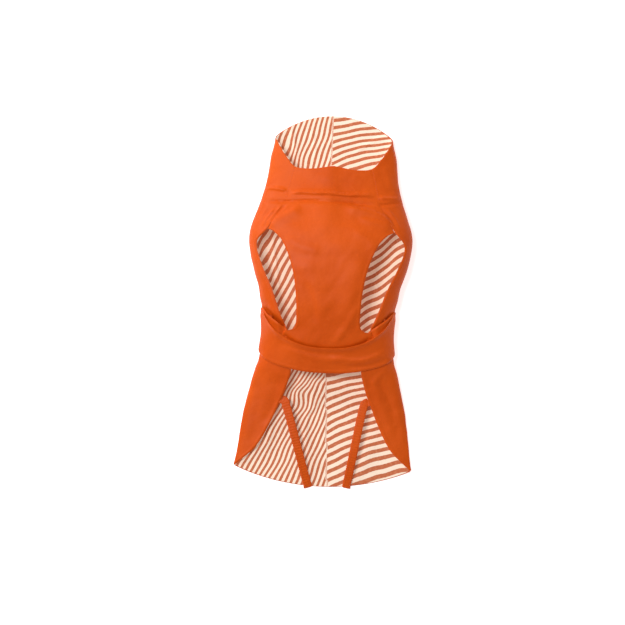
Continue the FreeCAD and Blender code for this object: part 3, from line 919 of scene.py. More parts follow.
@dataclass(frozen=True)
class CoatedCloth:
    """Waterproof shell cloth: fine plain weave under a thin satin coating."""

    name: str = "coated_cloth"
    base: Colour = (0.655, 0.086, 0.0035, 1.0)
    deep: Colour = (0.595, 0.073, 0.002, 1.0)
    pale: Colour = (0.715, 0.113, 0.010, 1.0)
    roughness: float = 0.5
    weave: float = 1400.0

    def build(self) -> bpy.types.Material:
        """Make the material."""
        g = Graph(self.name)
        place = g.position()
        across, along = g.cloth_place()
        threads = (across * (self.weave * math.pi)).sine() * (along * (self.weave * math.pi)).sine()
        cloud = g.noise(14.0, 4.0, place)
        fine = g.noise(160.0, 5.0, place)
        crumple = g.noise(60.0, 6.0, place, 0.6)
        tone = g.mix(cloud.clamp_between(0.35, 0.65), self.deep, self.base)
        colour = g.mix(fine.clamp_between(0.5, 0.85) * 0.35, tone, self.pale)
        rough = self.roughness + (cloud - 0.5) * 0.10 + (fine - 0.5) * 0.08
        first = g.bump(crumple, 0.0015, 0.7)
        normal = g.bump(threads, 0.00006, 0.5, first)
        return g.finish(
            {
                "Base Color": colour,
                "Roughness": rough,
                "Normal": normal,
                "Specular IOR Level": 0.08,
                "Coat Weight": 0.12,
                "Coat Roughness": 0.45,
            }
        )


@dataclass(frozen=True)
class StripedCloth:
    """Woven cotton lining with printed slanting stripes, made to glow faintly in its own colour as
    painted light.
    """

    name: str = "striped_cloth"
    cream: Colour = (0.83, 0.66, 0.525, 1.0)
    stripe: Colour = (0.45, 0.120, 0.052, 1.0)
    worn: Colour = (0.54, 0.18, 0.09, 1.0)
    roughness: float = 0.82
    share: float = 0.50
    weave: float = 1000.0

    def build(self) -> bpy.types.Material:
        """Make the material."""
        g = Graph(self.name)
        place = g.position()
        phase = g.node("ShaderNodeAttribute", {"attribute_name": "stripe"}, None, "Fac")
        across, along = g.cloth_place()
        threads = (across * (self.weave * math.pi)).sine() * (along * (self.weave * math.pi)).sine()
        ragged = g.noise(420.0, 3.0, place) * 0.10 + g.noise(40.0, 2.0, place) * 0.16
        wave = ((phase + ragged).fraction() - 0.5).size()
        ink = 1 - wave.clamp_between(self.share / 2 - 0.035, self.share / 2 + 0.035)
        ink_tone = g.mix(g.noise(260.0, 4.0, place).clamp_between(0.4, 0.8), self.stripe, self.worn)
        colour = g.mix(ink, self.cream, ink_tone)
        crumple = g.noise(90.0, 5.0, place, 0.6)
        first = g.bump(crumple, 0.0005, 0.5)
        normal = g.bump(threads, 0.00008, 0.6, first)
        return g.finish(
            {
                "Base Color": colour,
                "Roughness": self.roughness - ink * 0.06,
                "Normal": normal,
                "Specular IOR Level": 0.12,
                # painted light: the lining glows faintly in its own colour, brightening it inside
                # the leg holes as if lit
                "Emission Color": colour,
                "Emission Strength": 0.24,
            }
        )


@dataclass(frozen=True)
class SewingThread:
    """Twisted polyester thread."""

    name: str = "sewing_thread"
    base: Colour = (0.55, 0.07, 0.010, 1.0)

    def build(self) -> bpy.types.Material:
        """Make the material."""
        g = Graph(self.name)
        twist = g.noise(900.0, 2.0, g.position())
        colour = g.mix(twist, self.base, tuple(min(1.0, c * 1.3) for c in self.base[:3]) + (1.0,))
        normal = g.bump(twist, 0.0002, 0.6)
        return g.finish({"Base Color": colour, "Roughness": 0.5, "Normal": normal})


@dataclass(frozen=True)
class FastenerPile:
    """Hook-and-loop tape's pile."""

    name: str = "fastener_pile"
    base: Colour = (0.50, 0.06, 0.010, 1.0)
    tip: Colour = (0.66, 0.12, 0.03, 1.0)

    def build(self) -> bpy.types.Material:
        """Make the material."""
        g = Graph(self.name)
        pile = g.node("ShaderNodeTexVoronoi", None, {"Vector": g.position(), "Scale": 900.0})
        fuzz = g.noise(500.0, 4.0, g.position())
        colour = g.mix(pile.clamp_between(0.0, 0.6), self.tip, self.base)
        return g.finish(
            {
                "Base Color": colour,
                "Roughness": 0.85,
                "Normal": g.bump(pile + fuzz * 0.4, 0.0006, 0.9),
                "Specular IOR Level": 0.1,
                "Sheen Weight": 0.04,
            }
        )


@dataclass(frozen=True)
class StudioFloor:
    """Pale matt floor."""

    name: str = "studio_floor"
    base: Colour = (0.94, 0.94, 0.94, 1.0)

    def build(self) -> bpy.types.Material:
        """Make the material."""
        g = Graph(self.name)
        grain = g.noise(40.0, 2.0, g.position())
        colour = g.mix(grain * 0.02, self.base, (0.9, 0.9, 0.9, 1.0))
        return g.finish(
            {
                "Base Color": colour,
                "Roughness": 0.9,
                "Specular IOR Level": 0.1,
                "Emission Color": (1.0, 1.0, 1.0, 1.0),
                "Emission Strength": 0.68,
            }
        )


@dataclass(frozen=True)
class Finishes:
    """Every material of the coat."""

    shell: bpy.types.Material
    lining: bpy.types.Material
    thread: bpy.types.Material
    pile: bpy.types.Material

    @staticmethod
    def build() -> "Finishes":
        """Make them all."""
        return Finishes(
            CoatedCloth().build(),
            StripedCloth().build(),
            SewingThread().build(),
            FastenerPile().build(),
        )


# ---- sewing ------------------------------------------------------------------------------------
@dataclass(frozen=True)
class Stitching:
    """A row of straight stitches laid along points on a surface, in millimetres."""

    length: float = 2.6
    gap: float = 0.9
    thickness: float = 0.36
    sides: int = 5

    def build(
        self,
        name: str,
        lines: Sequence[tuple[Array, Array]],
        finishes: Finishes,
        attachment: Attachment,
    ) -> bpy.types.Object:
        """Make rows of stitches as one piece.

        Args:
            name: the piece's name.
            lines: for each row, its points and the surface normals there.
            finishes: the coat's materials.
            attachment: what the row moves with.

        Returns:
            The piece.
        """
        vertices: list[Array] = []
        faces: list[list[int]] = []
        for points, normals in lines:
            runs = np.concatenate([[0], np.cumsum(np.linalg.norm(np.diff(points, axis=0), axis=1))])
            starts = np.arange(0.5, runs[-1] - self.length, self.length + self.gap)
            for start in starts:
                keys = start + self.length * np.array([0.0, 0.18, 0.5, 0.82, 1.0])
                spine = np.stack([np.interp(keys, runs, points[:, k]) for k in range(3)], -1)
                normal = np.stack([np.interp(keys, runs, normals[:, k]) for k in range(3)], -1)
                normal /= np.maximum(np.linalg.norm(normal, axis=1, keepdims=True), 1e-9)
                along = spine[-1] - spine[0]
                across = np.cross(along, normal)
                across /= np.maximum(np.linalg.norm(across, axis=1, keepdims=True), 1e-9)
                size = self.thickness / 2 * np.array([0.35, 0.9, 1.1, 0.9, 0.35])
                sink = np.array([-0.25, 0.05, 0.12, 0.05, -0.25])
                spine = spine + normal * sink[:, None]
                base = sum(len(v) for v in vertices)
                angles = np.arange(self.sides) * 2 * math.pi / self.sides
                ring = (
                    spine[:, None, :]
                    + size[:, None, None] * np.cos(angles)[None, :, None] * across[:, None, :]
                    + size[:, None, None] * np.sin(angles)[None, :, None] * normal[:, None, :]
                )
                vertices.append(ring.reshape(-1, 3))
                for i in range(4):
                    for j in range(self.sides):
                        k = (j + 1) % self.sides
                        faces.append(
                            [base + i * self.sides + j, base + i * self.sides + k]
                            + [base + (i + 1) * self.sides + k, base + (i + 1) * self.sides + j]
                        )
                faces.append([base + j for j in range(self.sides)][::-1])
                faces.append([base + 4 * self.sides + j for j in range(self.sides)])
        mesh = bpy.data.meshes.new(name)
        mesh.from_pydata((np.concatenate(vertices) * MM).tolist(), [], faces)
        mesh.materials.append(finishes.thread)
        mesh.polygons.foreach_set("use_smooth", np.ones(len(mesh.polygons), bool))
        piece = new_object(name, mesh)
        attachment.attach(piece)
        return piece


STITCHES = Stitching()


def seam_line(x: Array, y: Array, out: float, lift: Lift) -> tuple[Array, Array]:
    """Points and normals along a line on the belly side, for stitches."""
    grid = Grid.from_plan(x, y)
    raised = lift(grid.x, grid.y, grid.face)
    low, high = grid.points(out, raised), grid.points(out, raised + 1.0)
    return low, high - low


# ---- panels ------------------------------------------------------------------------------------
@dataclass
class Panel:
    """One cut of cloth on the coat: its name, grid and depth."""

    name: str
    grid: Grid
    outer: float
    inner: float
    lift: Lift
    replaces: tuple[str, ...]
    slot: str
    held: str = "laid"
    attachment: Attachment = COAT
    extra: Array | float = 0.0
    turned: tuple[str, ...] = ()
    turn_depth: float = 0.5
    hem_puff: float = 0.3
    seam_from_y: float = 94.0
    seam_share: float = 0.16

    def edge_shape(self, points: Array) -> Array:
        """Lift near the edges: down at a seam or a turned edge, with a slight puff beside it.

        Args:
            points: the panel's places on the tube, in millimetres.

        Returns:
            The lift at each place, in millimetres.
        """
        total = np.zeros(points.shape[:2])
        down = np.linalg.norm(np.diff(points, axis=0), axis=2)
        across = np.linalg.norm(np.diff(points, axis=1), axis=2)
        first_row = np.concatenate([np.zeros((1, points.shape[1])), down.cumsum(0)])
        first_column = np.concatenate([np.zeros((points.shape[0], 1)), across.cumsum(1)], 1)
        reach = {
            "start": first_row,
            "end": first_row[-1:] - first_row,
            "inner": first_column,
            "outer": first_column[:, -1:] - first_column,
        }
        for name in self.turned:
            gap = reach[name]
            past = smooth_step(self.seam_from_y, self.seam_from_y + 6, points[..., 1])
            strength = 1 - (1 - self.seam_share) * past
            puff = self.hem_puff * np.exp(-(((gap - 2.6) / 1.5) ** 2))
            total += strength * (puff - self.turn_depth * np.exp(-((gap / 0.8) ** 2)))
        return total

    def build(self, outside: bpy.types.Material, inside: bpy.types.Material) -> bpy.types.Object:
        """Make the panel and attach it.

        Args:
            outside: material of its outer face.
            inside: material of its inner face.

        Returns:
            The piece.
        """
        grid = self.grid
        lift = self.lift(grid.x, grid.y, grid.face) + self.extra
        lift = lift + self.edge_shape(grid.points(0.0, 0.0))
        outer, inner = grid.points(self.outer, lift), grid.points(self.inner, lift)
        outer[..., 2] = np.maximum(outer[..., 2], 0.05)
        uv = np.stack([grid.girth, grid.y], -1) * MM
        stripe = Stripes.phase(grid.x, grid.y)
        piece = closed_sheet(self.name, outer, inner, uv, stripe, (outside, inside))
        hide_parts(*self.replaces)
        declare_sheet(outer)
        self.attachment.attach(piece)
        LOG.info("%s: %d faces", self.name, len(piece.data.polygons))
        return piece


def shell_panel(
    name: str, grid: Grid, nodes: tuple[str, ...], turned: tuple[str, ...], finishes: Finishes
) -> None:
    """Make a panel of the coat's shell in place of CAD nodes."""
    inner = -SHELL_THICKNESS
    panel = Panel(name, grid, 0.0, inner, coat_lift, nodes, "coated_shell", turned=turned)
    panel.build(finishes.shell, finishes.shell)


def lining_panel(name: str, grid: Grid, nodes: tuple[str, ...], finishes: Finishes) -> None:
    """Make a panel of the coat's lining in place of CAD nodes."""
    panel = Panel(name, grid, LINING_OUTER, LINING_INNER, lining_lift, nodes, "striped_lining")
    panel.build(finishes.lining, finishes.lining)


@dataclass
class Body:
    """The coat's back with its side flaps: shell and lining, left and right."""

    back_columns: int = 56
    strip_columns: int = 32
    rows: int = 230
    lining_inset: float = 0.5

    def grid(self, side: Side, inset: float) -> Grid:
        """The panel's grid from the centre back to the strip's inner edge.

        Args:
            side: left or right.
            inset: how far the panel stops short of its free edges.

        Returns:
            The grid.
        """
        t = edged(self.rows, 380.0)
        s_back, s_strip = even(self.back_columns), 1 - (1 - even(self.strip_columns)) ** 1.35
        # columns on the back: from the centre seam to the flank
        turn_back = s_back - 1
        hem = FORM.hem_y(FORM.hem_half_width * s_back) + inset
        top = self._seam_y(turn_back)
        back_y = hem[None, :] + (top - hem)[None, :] * t[:, None]
        back_turn = np.broadcast_to(turn_back[None, :], back_y.shape)
        # columns on the belly side: from the flank to the strip's edge
        low, high = back_y[0, -1], FORM.collar_seam(FORM.throat_base_x)
        flank_y = back_y[:, -1]
        edge_y = low + (high - low) * t
        edge = FORM.turn_at(np.maximum(FORM.strip_edge_x(edge_y), 0.0) + inset, edge_y)
        strip_turn = edge[:, None] * s_strip[None, 1:]
        seam = self._seam_y(edge[-1] * s_strip[1:])
        line = flank_y[:, None] + (edge_y - flank_y)[:, None] * s_strip[None, 1:]
        bow = seam - (flank_y[-1] + (edge_y[-1] - flank_y[-1]) * s_strip[1:])
        strip_y = line + bow[None, :] * t[:, None] ** 6
        turn = np.concatenate([back_turn, strip_turn], 1)
        y = np.concatenate([back_y, strip_y], 1)
        return Grid.from_turns(turn, y, side)

    @staticmethod
    def _seam_y(turn: Array) -> Array:
        """Place of the collar seam at turns round the tube."""
        y = np.full(turn.shape, FORM.collar_seam_y)
        for _ in range(3):
            share, _, _ = FORM.share_at(turn, y)
            y = FORM.collar_seam(share * FORM.half_width(y))
        return y

    def build(self, finishes: Finishes) -> None:
        """Make the shell, the lining and the hem stitching."""
        for side in Side:
            name = side.label
            nodes = (f"back_shell_{name}", f"side_flap_shell_{name}")
            turned = ("start", "end", "outer")
            shell_panel(f"coat_shell_{name}", self.grid(side, 0.0), nodes, turned, finishes)
            nodes = (f"back_lining_{name}", f"side_flap_lining_{name}")
            lining_panel(f"coat_lining_{name}", self.grid(side, self.lining_inset), nodes, finishes)
            y = even(260, -216.0, 84.0)
            x = (FORM.strip_edge_x(y) + 3.2) * side.sign
            lines = [seam_line(x, y, 0.0, coat_lift)]
            STITCHES.build(f"flap_stitches_{name}", lines, finishes, COAT)


@dataclass
class Collar:
    """The funnel collar: two sides that wrap from the nape to the throat, and the throat panel."""

    back_columns: int = 44
    side_columns: int = 24
    rows: int = 72
    lining_inset: float = 0.2
    throat_lining_inset: float = 1.2
    stitch_inset: float = 1.6
    stitch_stop: float = 3.0

    def grid(self, side: Side, inset: float) -> Grid:
        """One side's grid, from the centre back to the throat seam."""
        t = edged(self.rows, 90.0)
        s_back, s_side = even(self.back_columns), 1 - (1 - even(self.side_columns)) ** 1.4
        turn_back = s_back - 1
        low = Body._seam_y(turn_back)
        high = FORM.nape_y(FORM.collar_half_width * s_back) - inset
        high[-1] = FORM.collar_corner_y + 1.0
        back_y = low[None, :] + (high - low)[None, :] * t[:, None]
        back_turn = np.broadcast_to(turn_back[None, :], back_y.shape)
        base_y = FORM.collar_seam(FORM.throat_base_x)
        end = float(FORM.turn_at(FORM.throat_base_x, base_y))
        turn_low = end * s_side[1:]
        seam = Body._seam_y(turn_low)
        rim_x = FORM.collar_half_width - (FORM.collar_half_width - FORM.throat_top_x) * s_side[1:]
        rim_y = FORM.rim_y(rim_x) - inset
        turn_high = FORM.turn_at(np.minimum(rim_x, FORM.half_width(rim_y)), rim_y)
        side_y = seam[None, :] + (rim_y - seam)[None, :] * t[:, None]
        side_turn = turn_low[None, :] + (turn_high - turn_low)[None, :] * t[:, None]
        turn = np.concatenate([back_turn, side_turn], 1)
        y = np.concatenate([back_y, side_y], 1)
        return Grid.from_turns(turn, y, side)

    def throat(self, inset: float) -> Grid:
        """The throat panel's grid."""
        s = 2 * edged(52, 120.0) - 1
        t = edged(36, 44.0)
        low_x, high_x = FORM.throat_base_x * s, FORM.throat_top_x * s
        low_y = FORM.collar_seam(low_x)
        high_y = FORM.rim_y(high_x) - inset
        x = low_x[None, :] + (high_x - low_x)[None, :] * t[:, None]
        y = low_y[None, :] + (high_y - low_y)[None, :] * t[:, None]
        return Grid.from_plan(x, y)

    def build(self, finishes: Finishes) -> None:
        """Make the collar's panels."""
        for side in Side:
            name = side.label
            nodes = (f"collar_side_shell_{name}", "collar_back_shell", "nape_shell")
            turned = ("start", "end", "outer")
            shell_panel(f"collar_shell_{name}", self.grid(side, 0.0), nodes, turned, finishes)
            parts = ("collar_side", "collar_back", "nape")
            nodes = tuple(f"{part}_lining_{name}" for part in parts)
            inside = self.grid(side, self.lining_inset)
            lining_panel(f"collar_lining_{name}", inside, nodes, finishes)
        turned = ("start", "end", "inner", "outer")
        shell_panel("throat_panel", self.throat(0.0), ("throat_shell",), turned, finishes)
        inside = self.throat(self.throat_lining_inset)
        lining_panel("throat_lining_panel", inside, ("throat_lining",), finishes)
        t = even(60)
        lines = []
        for side in Side:
            base_x, base_y = FORM.throat_base_x, FORM.collar_seam(FORM.throat_base_x)
            x = (base_x + (FORM.throat_top_x - base_x) * t + self.stitch_inset) * side.sign
            y = base_y + (FORM.throat_edge_y - base_y - self.stitch_stop) * t
            lines.append(seam_line(x, y, 0.0, coat_lift))
        STITCHES.build("throat_stitches", lines, finishes, COAT)


@dataclass
class Chest:
    """The chest panel between the leg holes."""

    tip_x: float = 84.0
    waist_half_width: float = 42.0
    below_hole_x: float = 59.0
    end_y: float = -84.0
    lining_inset: float = 1.4
    columns: int = 92
    rows: int = 170

    def side_points(self) -> list[Point]:
        """Right-hand edge from the panel's end up to the tip of the leg hole."""
        low = self.waist_half_width
        return [
            (self.below_hole_x, self.end_y),
            (self.below_hole_x, -60.0),
            (self.below_hole_x, -42.0),
            (self.below_hole_x - 1.5, -39.0),
            (low + 13.0, -38.4),
            (low + 8.5, -38.2),
            (low + 4.2, -36.2),
            (low + 1.2, -32.0),
            (low + 0.2, -22.0),
            (low + 2.0, 10.0),
            (low + 8.0, 44.0),
            (low + 21.0, 77.0),
            (self.tip_x - 9.0, 90.5),
            (self.tip_x, FORM.leg_hole_top_y - 2.0),
        ]

    def grid(self, inset: float) -> Grid:
        """The panel's grid, from its end under the belt to the collar seam."""
        edge_x, edge_y = path_through(self.side_points())(even(self.rows))
        edge_x = edge_x - inset
        top_x = FORM.throat_base_x
        t = even(24)[1:]
        shoulder_x = edge_x[-1] + (top_x - edge_x[-1]) * t
        shoulder_y = edge_y[-1] + (FORM.collar_seam(top_x) - edge_y[-1]) * t
        x_edge, y_edge = np.concatenate([edge_x, shoulder_x]), np.concatenate([edge_y, shoulder_y])
        s = 2 * edged(self.columns, 150.0) - 1
        x = x_edge[:, None] * s[None, :]
        bow = FORM.collar_seam(top_x * s) - FORM.collar_seam(top_x)
        share = np.concatenate([np.zeros(len(edge_x)), t])
        y = y_edge[:, None] + share[:, None] ** 1.5 * bow[None, :]
        return Grid.from_plan(x, y)

    def build(self, finishes: Finishes) -> None:
        """Make the chest panel, its lining and its edge stitching."""
        nodes = ("chest_shell", "leg_hole_binding_left", "leg_hole_binding_right")
        shell_panel("chest_panel", self.grid(0.0), nodes, ("inner", "outer", "end"), finishes)
        inside = self.grid(self.lining_inset)
        lining_panel("chest_lining_panel", inside, ("chest_lining",), finishes)
        x, y = path_through(self.side_points()[8:])(even(160))
        keep = y < 92
        lines = [seam_line((x[keep] - 2.6) * side.sign, y[keep], 0.0, coat_lift) for side in Side]
        STITCHES.build("chest_stitches", lines, finishes, COAT)


BELT_FRONT_TOP: tuple[Point, ...] = (
    *((0, -61), (15, -60.4), (30, -58), (50, -51)),
    *((64, -41), (76, -29), (90, -11), (120, -6)),
)
BELT_UNDER_TOP: tuple[Point, ...] = (
    *((34, -46), (40, -40), (46, -37.5), (51, -37.5), (57, -34.5)),
    *((64, -29), (76, -20), (90, -9), (120, -5)),
)
BELT_BOTTOM: tuple[Point, ...] = (
    *((0, -94), (25, -93), (50, -89), (70, -83)),
    *((82, -77), (89, -71), (96, -67), (120, -66)),
)


def edge_at(points: Sequence[Point], x: Array) -> Array:
    """Place along the coat of an edge given by points, the same on both sides."""
    return hermite([p[0] for p in points], [p[1] for p in points], np.abs(x))


@dataclass
class Belt:
    """The belly belt: an under layer with the wings, and a front layer with a free upper edge."""

    tip_turn: float = -0.07
    fold_x: float = 65.4
    fold_reach: float = 8.0
    fold_y: float = -0.058
    fold_z: float = 0.0397
    start_x: float = 54.0
    end_turn: float = 0.03
    inset: float = 0.8
    left_stand: float = 2.6
    right_stand: float = 1.4
    columns: int = 64
    rows: int = 34

    def flare(self, gap: Array, width: float, x: Array, side: Side) -> Array:
        """How far a layer's upper edge stands off the coat beside the leg hole.

        Args:
            gap: distance below the layer's upper edge.
            width: how fast the flare fades with it.
            x: place across the coat.
            side: left or right.

        Returns:
            The flare, in millimetres.
        """
        stand = self.left_stand if side is Side.LEFT else self.right_stand
        flare = np.exp(-((gap / width) ** 2)) * smooth_step(56, 66, np.abs(x)) * stand
        return flare * (1 - smooth_step(78, 88, np.abs(x)))

    def attachment(self, side: Side) -> Attachment:
        """The belt's attachment: the coat, its wing and the fold line between them; the belt is
        left in place, not bent.
        """
        near, far = self.fold_x - self.fold_reach, self.fold_x + self.fold_reach
        start = (near * MM * side.sign, self.fold_y, self.fold_z)
        end = (far * MM * side.sign, self.fold_y, self.fold_z)
        return Attachment("coat", f"belt_wing_{side.label}", start, end)

    def front_top(self, x: Array) -> Array:
        """Upper edge of the front layer: low in the middle, high at the flanks."""
        return edge_at(BELT_FRONT_TOP, x)

    def under_top(self, x: Array) -> Array:
        """Upper edge of the under layer: below the leg hole, then up to the flank."""
        return edge_at(BELT_UNDER_TOP, x)

    def bottom(self, x: Array) -> Array:
        """Lower edge."""
        return edge_at(BELT_BOTTOM, x)

    def grid(
        self,
        side: Side,
        start_x: float,
        end_turn: float,
        top: Callable[[Array], Array],
        inset: float,
    ) -> Grid:
        """Grid from a start near the middle to the wing's tip.

        Args:
            side: left or right.
            start_x: where the layer starts, across the coat.
            end_turn: where it ends, as a turn round the coat.
            top: its upper edge.
            inset: how far it stops short of the belt's edges.

        Returns:
            The grid.
        """
        s = even(self.columns)
        t = edged(self.rows, 45.0)
        start = np.array([1.0 if start_x < 1e-6 else float(FORM.turn_at(start_x, -60.0))])
        turn = start[0] + (end_turn - start[0]) * s
        low, high = np.full(s.shape, -80.0), np.full(s.shape, -40.0)
        for _ in range(5):
            for which, edge, shift in ((low, self.bottom, inset), (high, top, -inset)):
                share, _, _ = FORM.share_at(np.maximum(turn, 0.0), which)
                which[:] = edge(share * FORM.half_width(which)) + shift
        y = low[None, :] + (high - low)[None, :] * t[:, None]
        return Grid.from_turns(np.broadcast_to(turn[None, :], y.shape), y, side)

    def lift(self, x: Array, y: Array, face: Array) -> Array:
        """The belt's own folds; the face makes no difference to them."""
        folds = (
            Fold(((-60, -60), (-30, -70), (0, -76), (30, -74)), 0.9, 5.0),
            Fold(((-4, -70), (24, -76), (50, -74), (80, -60)), 1.4, 3.4, 6.0),
            Fold(((20, -84), (50, -82), (84, -70)), -0.8, 3.0),
            Fold(((-90, -30), (-60, -48), (-30, -64)), 0.7, 5.0),
        )
        share = np.abs(x) / FORM.half_width(y)
        free = 1 - smooth_step(0.86, 1.0, share)
        own = sum(fold.lift(x, y) for fold in folds) + 0.7 * SHELL_RUMPLE.lift(x + 40, y * 1.3)
        return own * free

    def build(self, finishes: Finishes) -> None:
        """Make both layers on both sides."""
        for side in Side:
            name = side.label
            attachment = self.attachment(side)
            under = self.grid(side, self.start_x, self.end_turn, self.under_top, self.inset)
            near = 1 - smooth_step(56, 66, np.abs(under.x))
            near = near * (1 - smooth_step(60, 70, np.abs(under.x)))
            flare = self.flare(self.under_top(under.x) - under.y, 8.0, under.x, side)
            Panel(
                f"belt_under_{name}",
                under,
                1.6,
                1.1,
                lambda x, y, f: 0.4 * self.lift(x, y, f),
                ("belt_front_lining", f"belt_wing_lining_{name}", "belt_seam_tape"),
                "striped_lining",
                "laid",
                attachment,
                extra=-3.0 * near + flare * 0.6 + flank_lift(under.x, under.y, under.face),
                turned=("end",),
            ).build(finishes.shell, finishes.lining)
            front = self.grid(side, 0.0, self.tip_turn, self.front_top, 0.0)
            gap = self.front_top(front.x) - front.y
            roll = np.exp(-((gap / 4.5) ** 2)) * 2.6 * (1 - smooth_step(66, 82, np.abs(front.x)))
            flare = self.flare(gap, 9.0, front.x, side)
            corners = np.maximum(smooth_step(-22, -12, front.y), smooth_step(-64, -70, front.y))
            hug = 1.4 * smooth_step(0.88, 0.99, np.abs(front.share)) * corners
            Panel(
                f"belt_front_{name}",
                front,
                2.9,
                2.0,
                self.lift,
                ("belt_front_shell", f"belt_wing_shell_{name}"),
                "coated_shell",
                "laid",
                attachment,
                extra=roll + flare * 0.6 - hug + flank_lift(front.x, front.y, front.face),
                turned=("start",),
                turn_depth=0.4,
            ).build(finishes.shell, finishes.shell)


@dataclass
class LegStrap:
    """An elastic strap from the flap's edge to the tail hem."""

    side: Side
    hem_x: float
    top_x: float = 56.0
    top_y: float = -131.0
    width: float = 10.0
    thickness: float = 1.9
    turn_in: float = 4.5
    stitch_share: float = 0.32
    steps: int = 120

    def centre_line(self) -> tuple[Array, Array]:
        """Centre line of the strap and the direction out of its face.

        Returns:
            Points and normals, in millimetres.
        """
        sign = self.side.sign
        share = self.top_x / FORM.half_width(self.top_y)
        top_z = float(FORM.place(share, self.top_y, 1, 0.0, 0.0)[..., 2])
        hem = float(FORM.hem_y(self.hem_x))
        points = [
            (sign * (self.top_x + 7), self.top_y + 1.0, top_z - 4.0),
            (sign * (self.top_x + 3), self.top_y - 0.2, top_z - 3.4),
            (sign * (self.top_x - 2), self.top_y - 1.8, top_z - 2.6),
            (sign * (self.top_x - self.turn_in), self.top_y - 8.0, top_z - 2.4),
        ]
        from_x = sign * (self.top_x - self.turn_in - 0.6)
        ends = np.array([[from_x, self.top_y - 8.0], [self.hem_x, hem]])
        for share in (0.22, 0.42, 0.62, 0.8, 0.92):
            xy = ends[0] + (ends[1] - ends[0]) * share
            z = (top_z - 2.4) * (1 - share) + 4.6 * share + 5.0 * math.sin(math.pi * share)
            points.append((xy[0], xy[1], z))
        points += [
            (self.hem_x, hem + 0.6, 4.4),
            (self.hem_x, hem - 1.6, 3.2),
            (self.hem_x, hem - 2.2, 1.9),
        ]
        raw = np.array(points)
        runs = np.concatenate([[0], np.cumsum(np.linalg.norm(np.diff(raw, axis=0), axis=1))])
        keys = np.linspace(0, runs[-1], self.steps)
        line = np.stack([hermite(runs, raw[:, k], keys) for k in range(3)], -1)
        tangent = np.gradient(line, axis=0)
        tangent /= np.linalg.norm(tangent, axis=1, keepdims=True)
        across = np.cross(tangent, np.array([0.0, 0.0, 1.0]))
        across /= np.maximum(np.linalg.norm(across, axis=1, keepdims=True), 1e-6)
        flat = across[55]
        ease = smooth_step(0.02, 0.10, np.linspace(0, 1, len(line)))[:, None]
        across = np.where((across @ flat)[:, None] < 0, -across, across)
        across = across * ease + flat * (1 - ease)
        across /= np.linalg.norm(across, axis=1, keepdims=True)
        across[-8:] = across[-9]
        normal = np.cross(across, tangent)
        normal = np.where(normal[:, 2:3] < 0, -normal, normal) if normal[55, 2] < 0 else normal
        return line, normal / np.linalg.norm(normal, axis=1, keepdims=True)

    def build(self, finishes: Finishes) -> None:
        """Make the strap's ribbon and its stitching."""
        line, normal = self.centre_line()
        tangent = np.gradient(line, axis=0)
        tangent /= np.linalg.norm(tangent, axis=1, keepdims=True)
        across = np.cross(normal, tangent)
        s = even(8, -0.5, 0.5)
        crown = 0.45 * (1 - (2 * s) ** 4)
        gather = 0.22 * np.sin(np.arange(len(line)) * 1.9)
        ruffle = 1 + 0.035 * np.sin(np.arange(len(line)) * 2.3)
        reach = ruffle[:, None] * s * self.width
        middle = line[:, None, :] + across[:, None, :] * reach[:, :, None]
        depth = self.thickness / 2 * (0.75 + 0.25 * crown[None, :] / 0.45)
        swell = (depth + gather[:, None])[:, :, None]
        outer = middle + normal[:, None, :] * swell
        inner = middle - normal[:, None, :] * swell
        runs = np.arange(len(line))[:, None] * np.ones((1, len(s))) * 1.3
        uv = np.stack([s[None, :] * self.width * np.ones((len(line), 1)), runs], -1) * MM
        name = self.side.label
        materials = (finishes.shell,)
        piece = closed_sheet(f"leg_strap_ribbon_{name}", outer, inner, uv, None, materials, 0.4)
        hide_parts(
            f"leg_strap_upper_{name}",
            f"leg_strap_under_{name}",
            f"leg_strap_elastic_{name}",
            f"leg_strap_tab_{name}",
        )
        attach(piece, "coat")
        lines = []
        for shift in (-self.stitch_share, self.stitch_share):
            spot = line + across * self.width * shift + normal * (self.thickness / 2 + 0.05)
            lines.append((spot, normal))
        STITCHES.build(f"leg_strap_stitches_{name}", lines, finishes, COAT)
        LOG.info("leg strap %s: %d faces", name, len(piece.data.polygons))


@dataclass
class Fasteners:
    """Hook-and-loop patches: loop on the coat's flanks, hook inside the belt's wings."""

    inner_x: float = 74.0
    low_y: float = -64.0
    high_y: float = -20.0
    end_turn: float = 0.01
    loop_out: float = 0.5
    hook_out: float = 1.0
    thickness: float = 0.4

    def grid(self, side: Side) -> Grid:
        """One patch's grid, from its inner edge to the flank."""
        s, t = even(12), edged(30, self.high_y - self.low_y)
        y = self.low_y + (self.high_y - self.low_y) * t
        start = FORM.turn_at(self.inner_x, y)
        turn = start[:, None] * (1 - s[None, :]) + self.end_turn * s[None, :]
        return Grid.from_turns(turn, np.broadcast_to(y[:, None], turn.shape), side)

    def build(self, finishes: Finishes) -> None:
        """Make the four patches."""
        for side in Side:
            wing = f"belt_wing_{side.label}"
            layers = (("loop", self.loop_out, "coat"), ("hook", self.hook_out, wing))
            for kind, outer, body in layers:
                grid = self.grid(side)
                lift = flank_lift(grid.x, grid.y, grid.face)
                points = grid.points(outer, lift)
                under = grid.points(outer - self.thickness, lift)
                uv = np.stack([grid.girth, grid.y], -1) * MM
                name = f"{kind}_pile_{side.label}"
                piece = closed_sheet(name, points, under, uv, None, (finishes.pile,))
                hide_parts(f"{kind}_patch_{side.label}")
                declare_sheet(points)
                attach(piece, body)


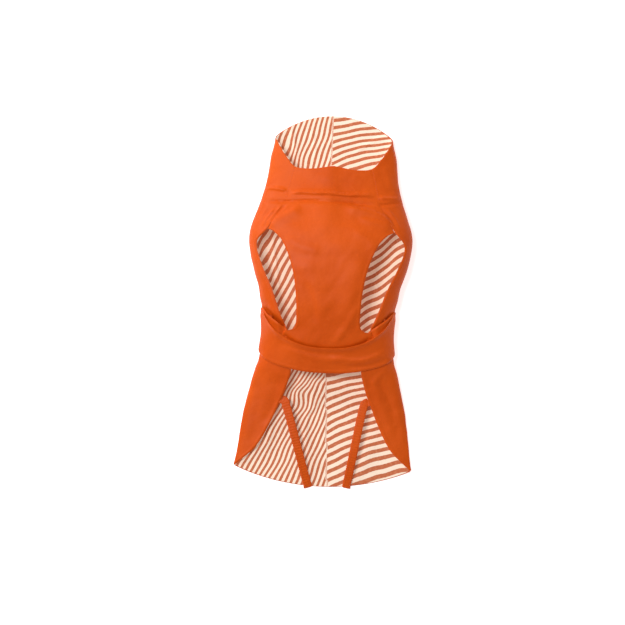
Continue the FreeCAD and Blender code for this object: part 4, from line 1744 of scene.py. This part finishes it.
# ---- studio ------------------------------------------------------------------------------------
@dataclass(frozen=True)
class Studio:
    """Floor, lights and camera."""

    view_width: float = 0.8333
    centre: Point = (-0.0209, -0.0141)
    roll_deg: float = 2.1
    distance: float = 3.2
    sensor: float = 36.0
    aim_height: float = 0.022
    floor_half: float = 6.0
    floor_drop: float = 0.0004
    surround: float = 0.3

    def floor(self) -> None:
        """Lay the floor."""
        mesh = bpy.data.meshes.new("floor")
        work = bmesh.new()
        bmesh.ops.create_grid(work, x_segments=1, y_segments=1, size=self.floor_half)
        work.to_mesh(mesh)
        work.free()
        mesh.materials.append(StudioFloor().build())
        floor = new_object("floor", mesh)
        floor.location.z = -self.floor_drop

    def lamp(self, name: str, place: Place, size: float, power: float, target: Vector) -> None:
        """Hang a square soft light, aimed at a target."""
        data = bpy.data.lights.new(name, "AREA")
        data.shape = "SQUARE"
        data.size, data.energy = size, power
        lamp = bpy.data.objects.new(name, data)
        lamp.location = place
        lamp.rotation_euler = (target - Vector(place)).to_track_quat("-Z", "Y").to_euler()
        bpy.context.scene.collection.objects.link(lamp)

    def lights(self) -> None:
        """Set the soft lights and the pale surroundings."""
        target = Vector((0.0, 0.0, 0.03))
        self.lamp("key", (-1.25, 1.05, 0.75), 0.55, 14.0, target)
        self.lamp("overhead", (-0.8, 0.45, 2.45), 0.8, 45.0, target)
        world = bpy.data.worlds.new("surroundings")
        world.use_nodes = True
        back = world.node_tree.nodes["Background"]
        back.inputs[0].default_value = (1.0, 1.0, 1.0, 1.0)
        back.inputs[1].default_value = self.surround
        bpy.context.scene.world = world

    def camera(self) -> None:
        """Set the camera straight above, rolled as the coat lies."""
        data = bpy.data.cameras.new("camera")
        data.sensor_width = self.sensor
        data.lens = self.sensor * (self.distance - self.aim_height) / self.view_width
        data.clip_end = 50.0
        camera = bpy.data.objects.new("camera", data)
        camera.location = (self.centre[0], self.centre[1], self.distance)
        camera.rotation_euler = (0.0, 0.0, math.radians(self.roll_deg))
        bpy.context.scene.collection.objects.link(camera)
        bpy.context.scene.camera = camera

    def build(self) -> None:
        """Build the studio, shown with plain display colours."""
        bpy.context.scene.view_settings.view_transform = "Standard"
        self.floor()
        self.lights()
        self.camera()


def main() -> None:
    """Build the coat and the studio, logging the pieces' face counts."""
    logging.basicConfig(level=logging.INFO, format="%(message)s")
    finishes = Finishes.build()
    Body().build(finishes)
    Collar().build(finishes)
    Chest().build(finishes)
    Belt().build(finishes)
    LegStrap(Side.LEFT, -19.0).build(finishes)
    LegStrap(Side.RIGHT, 33.0).build(finishes)
    Fasteners().build(finishes)
    Studio().build()


if __name__ == "__main__":
    main()
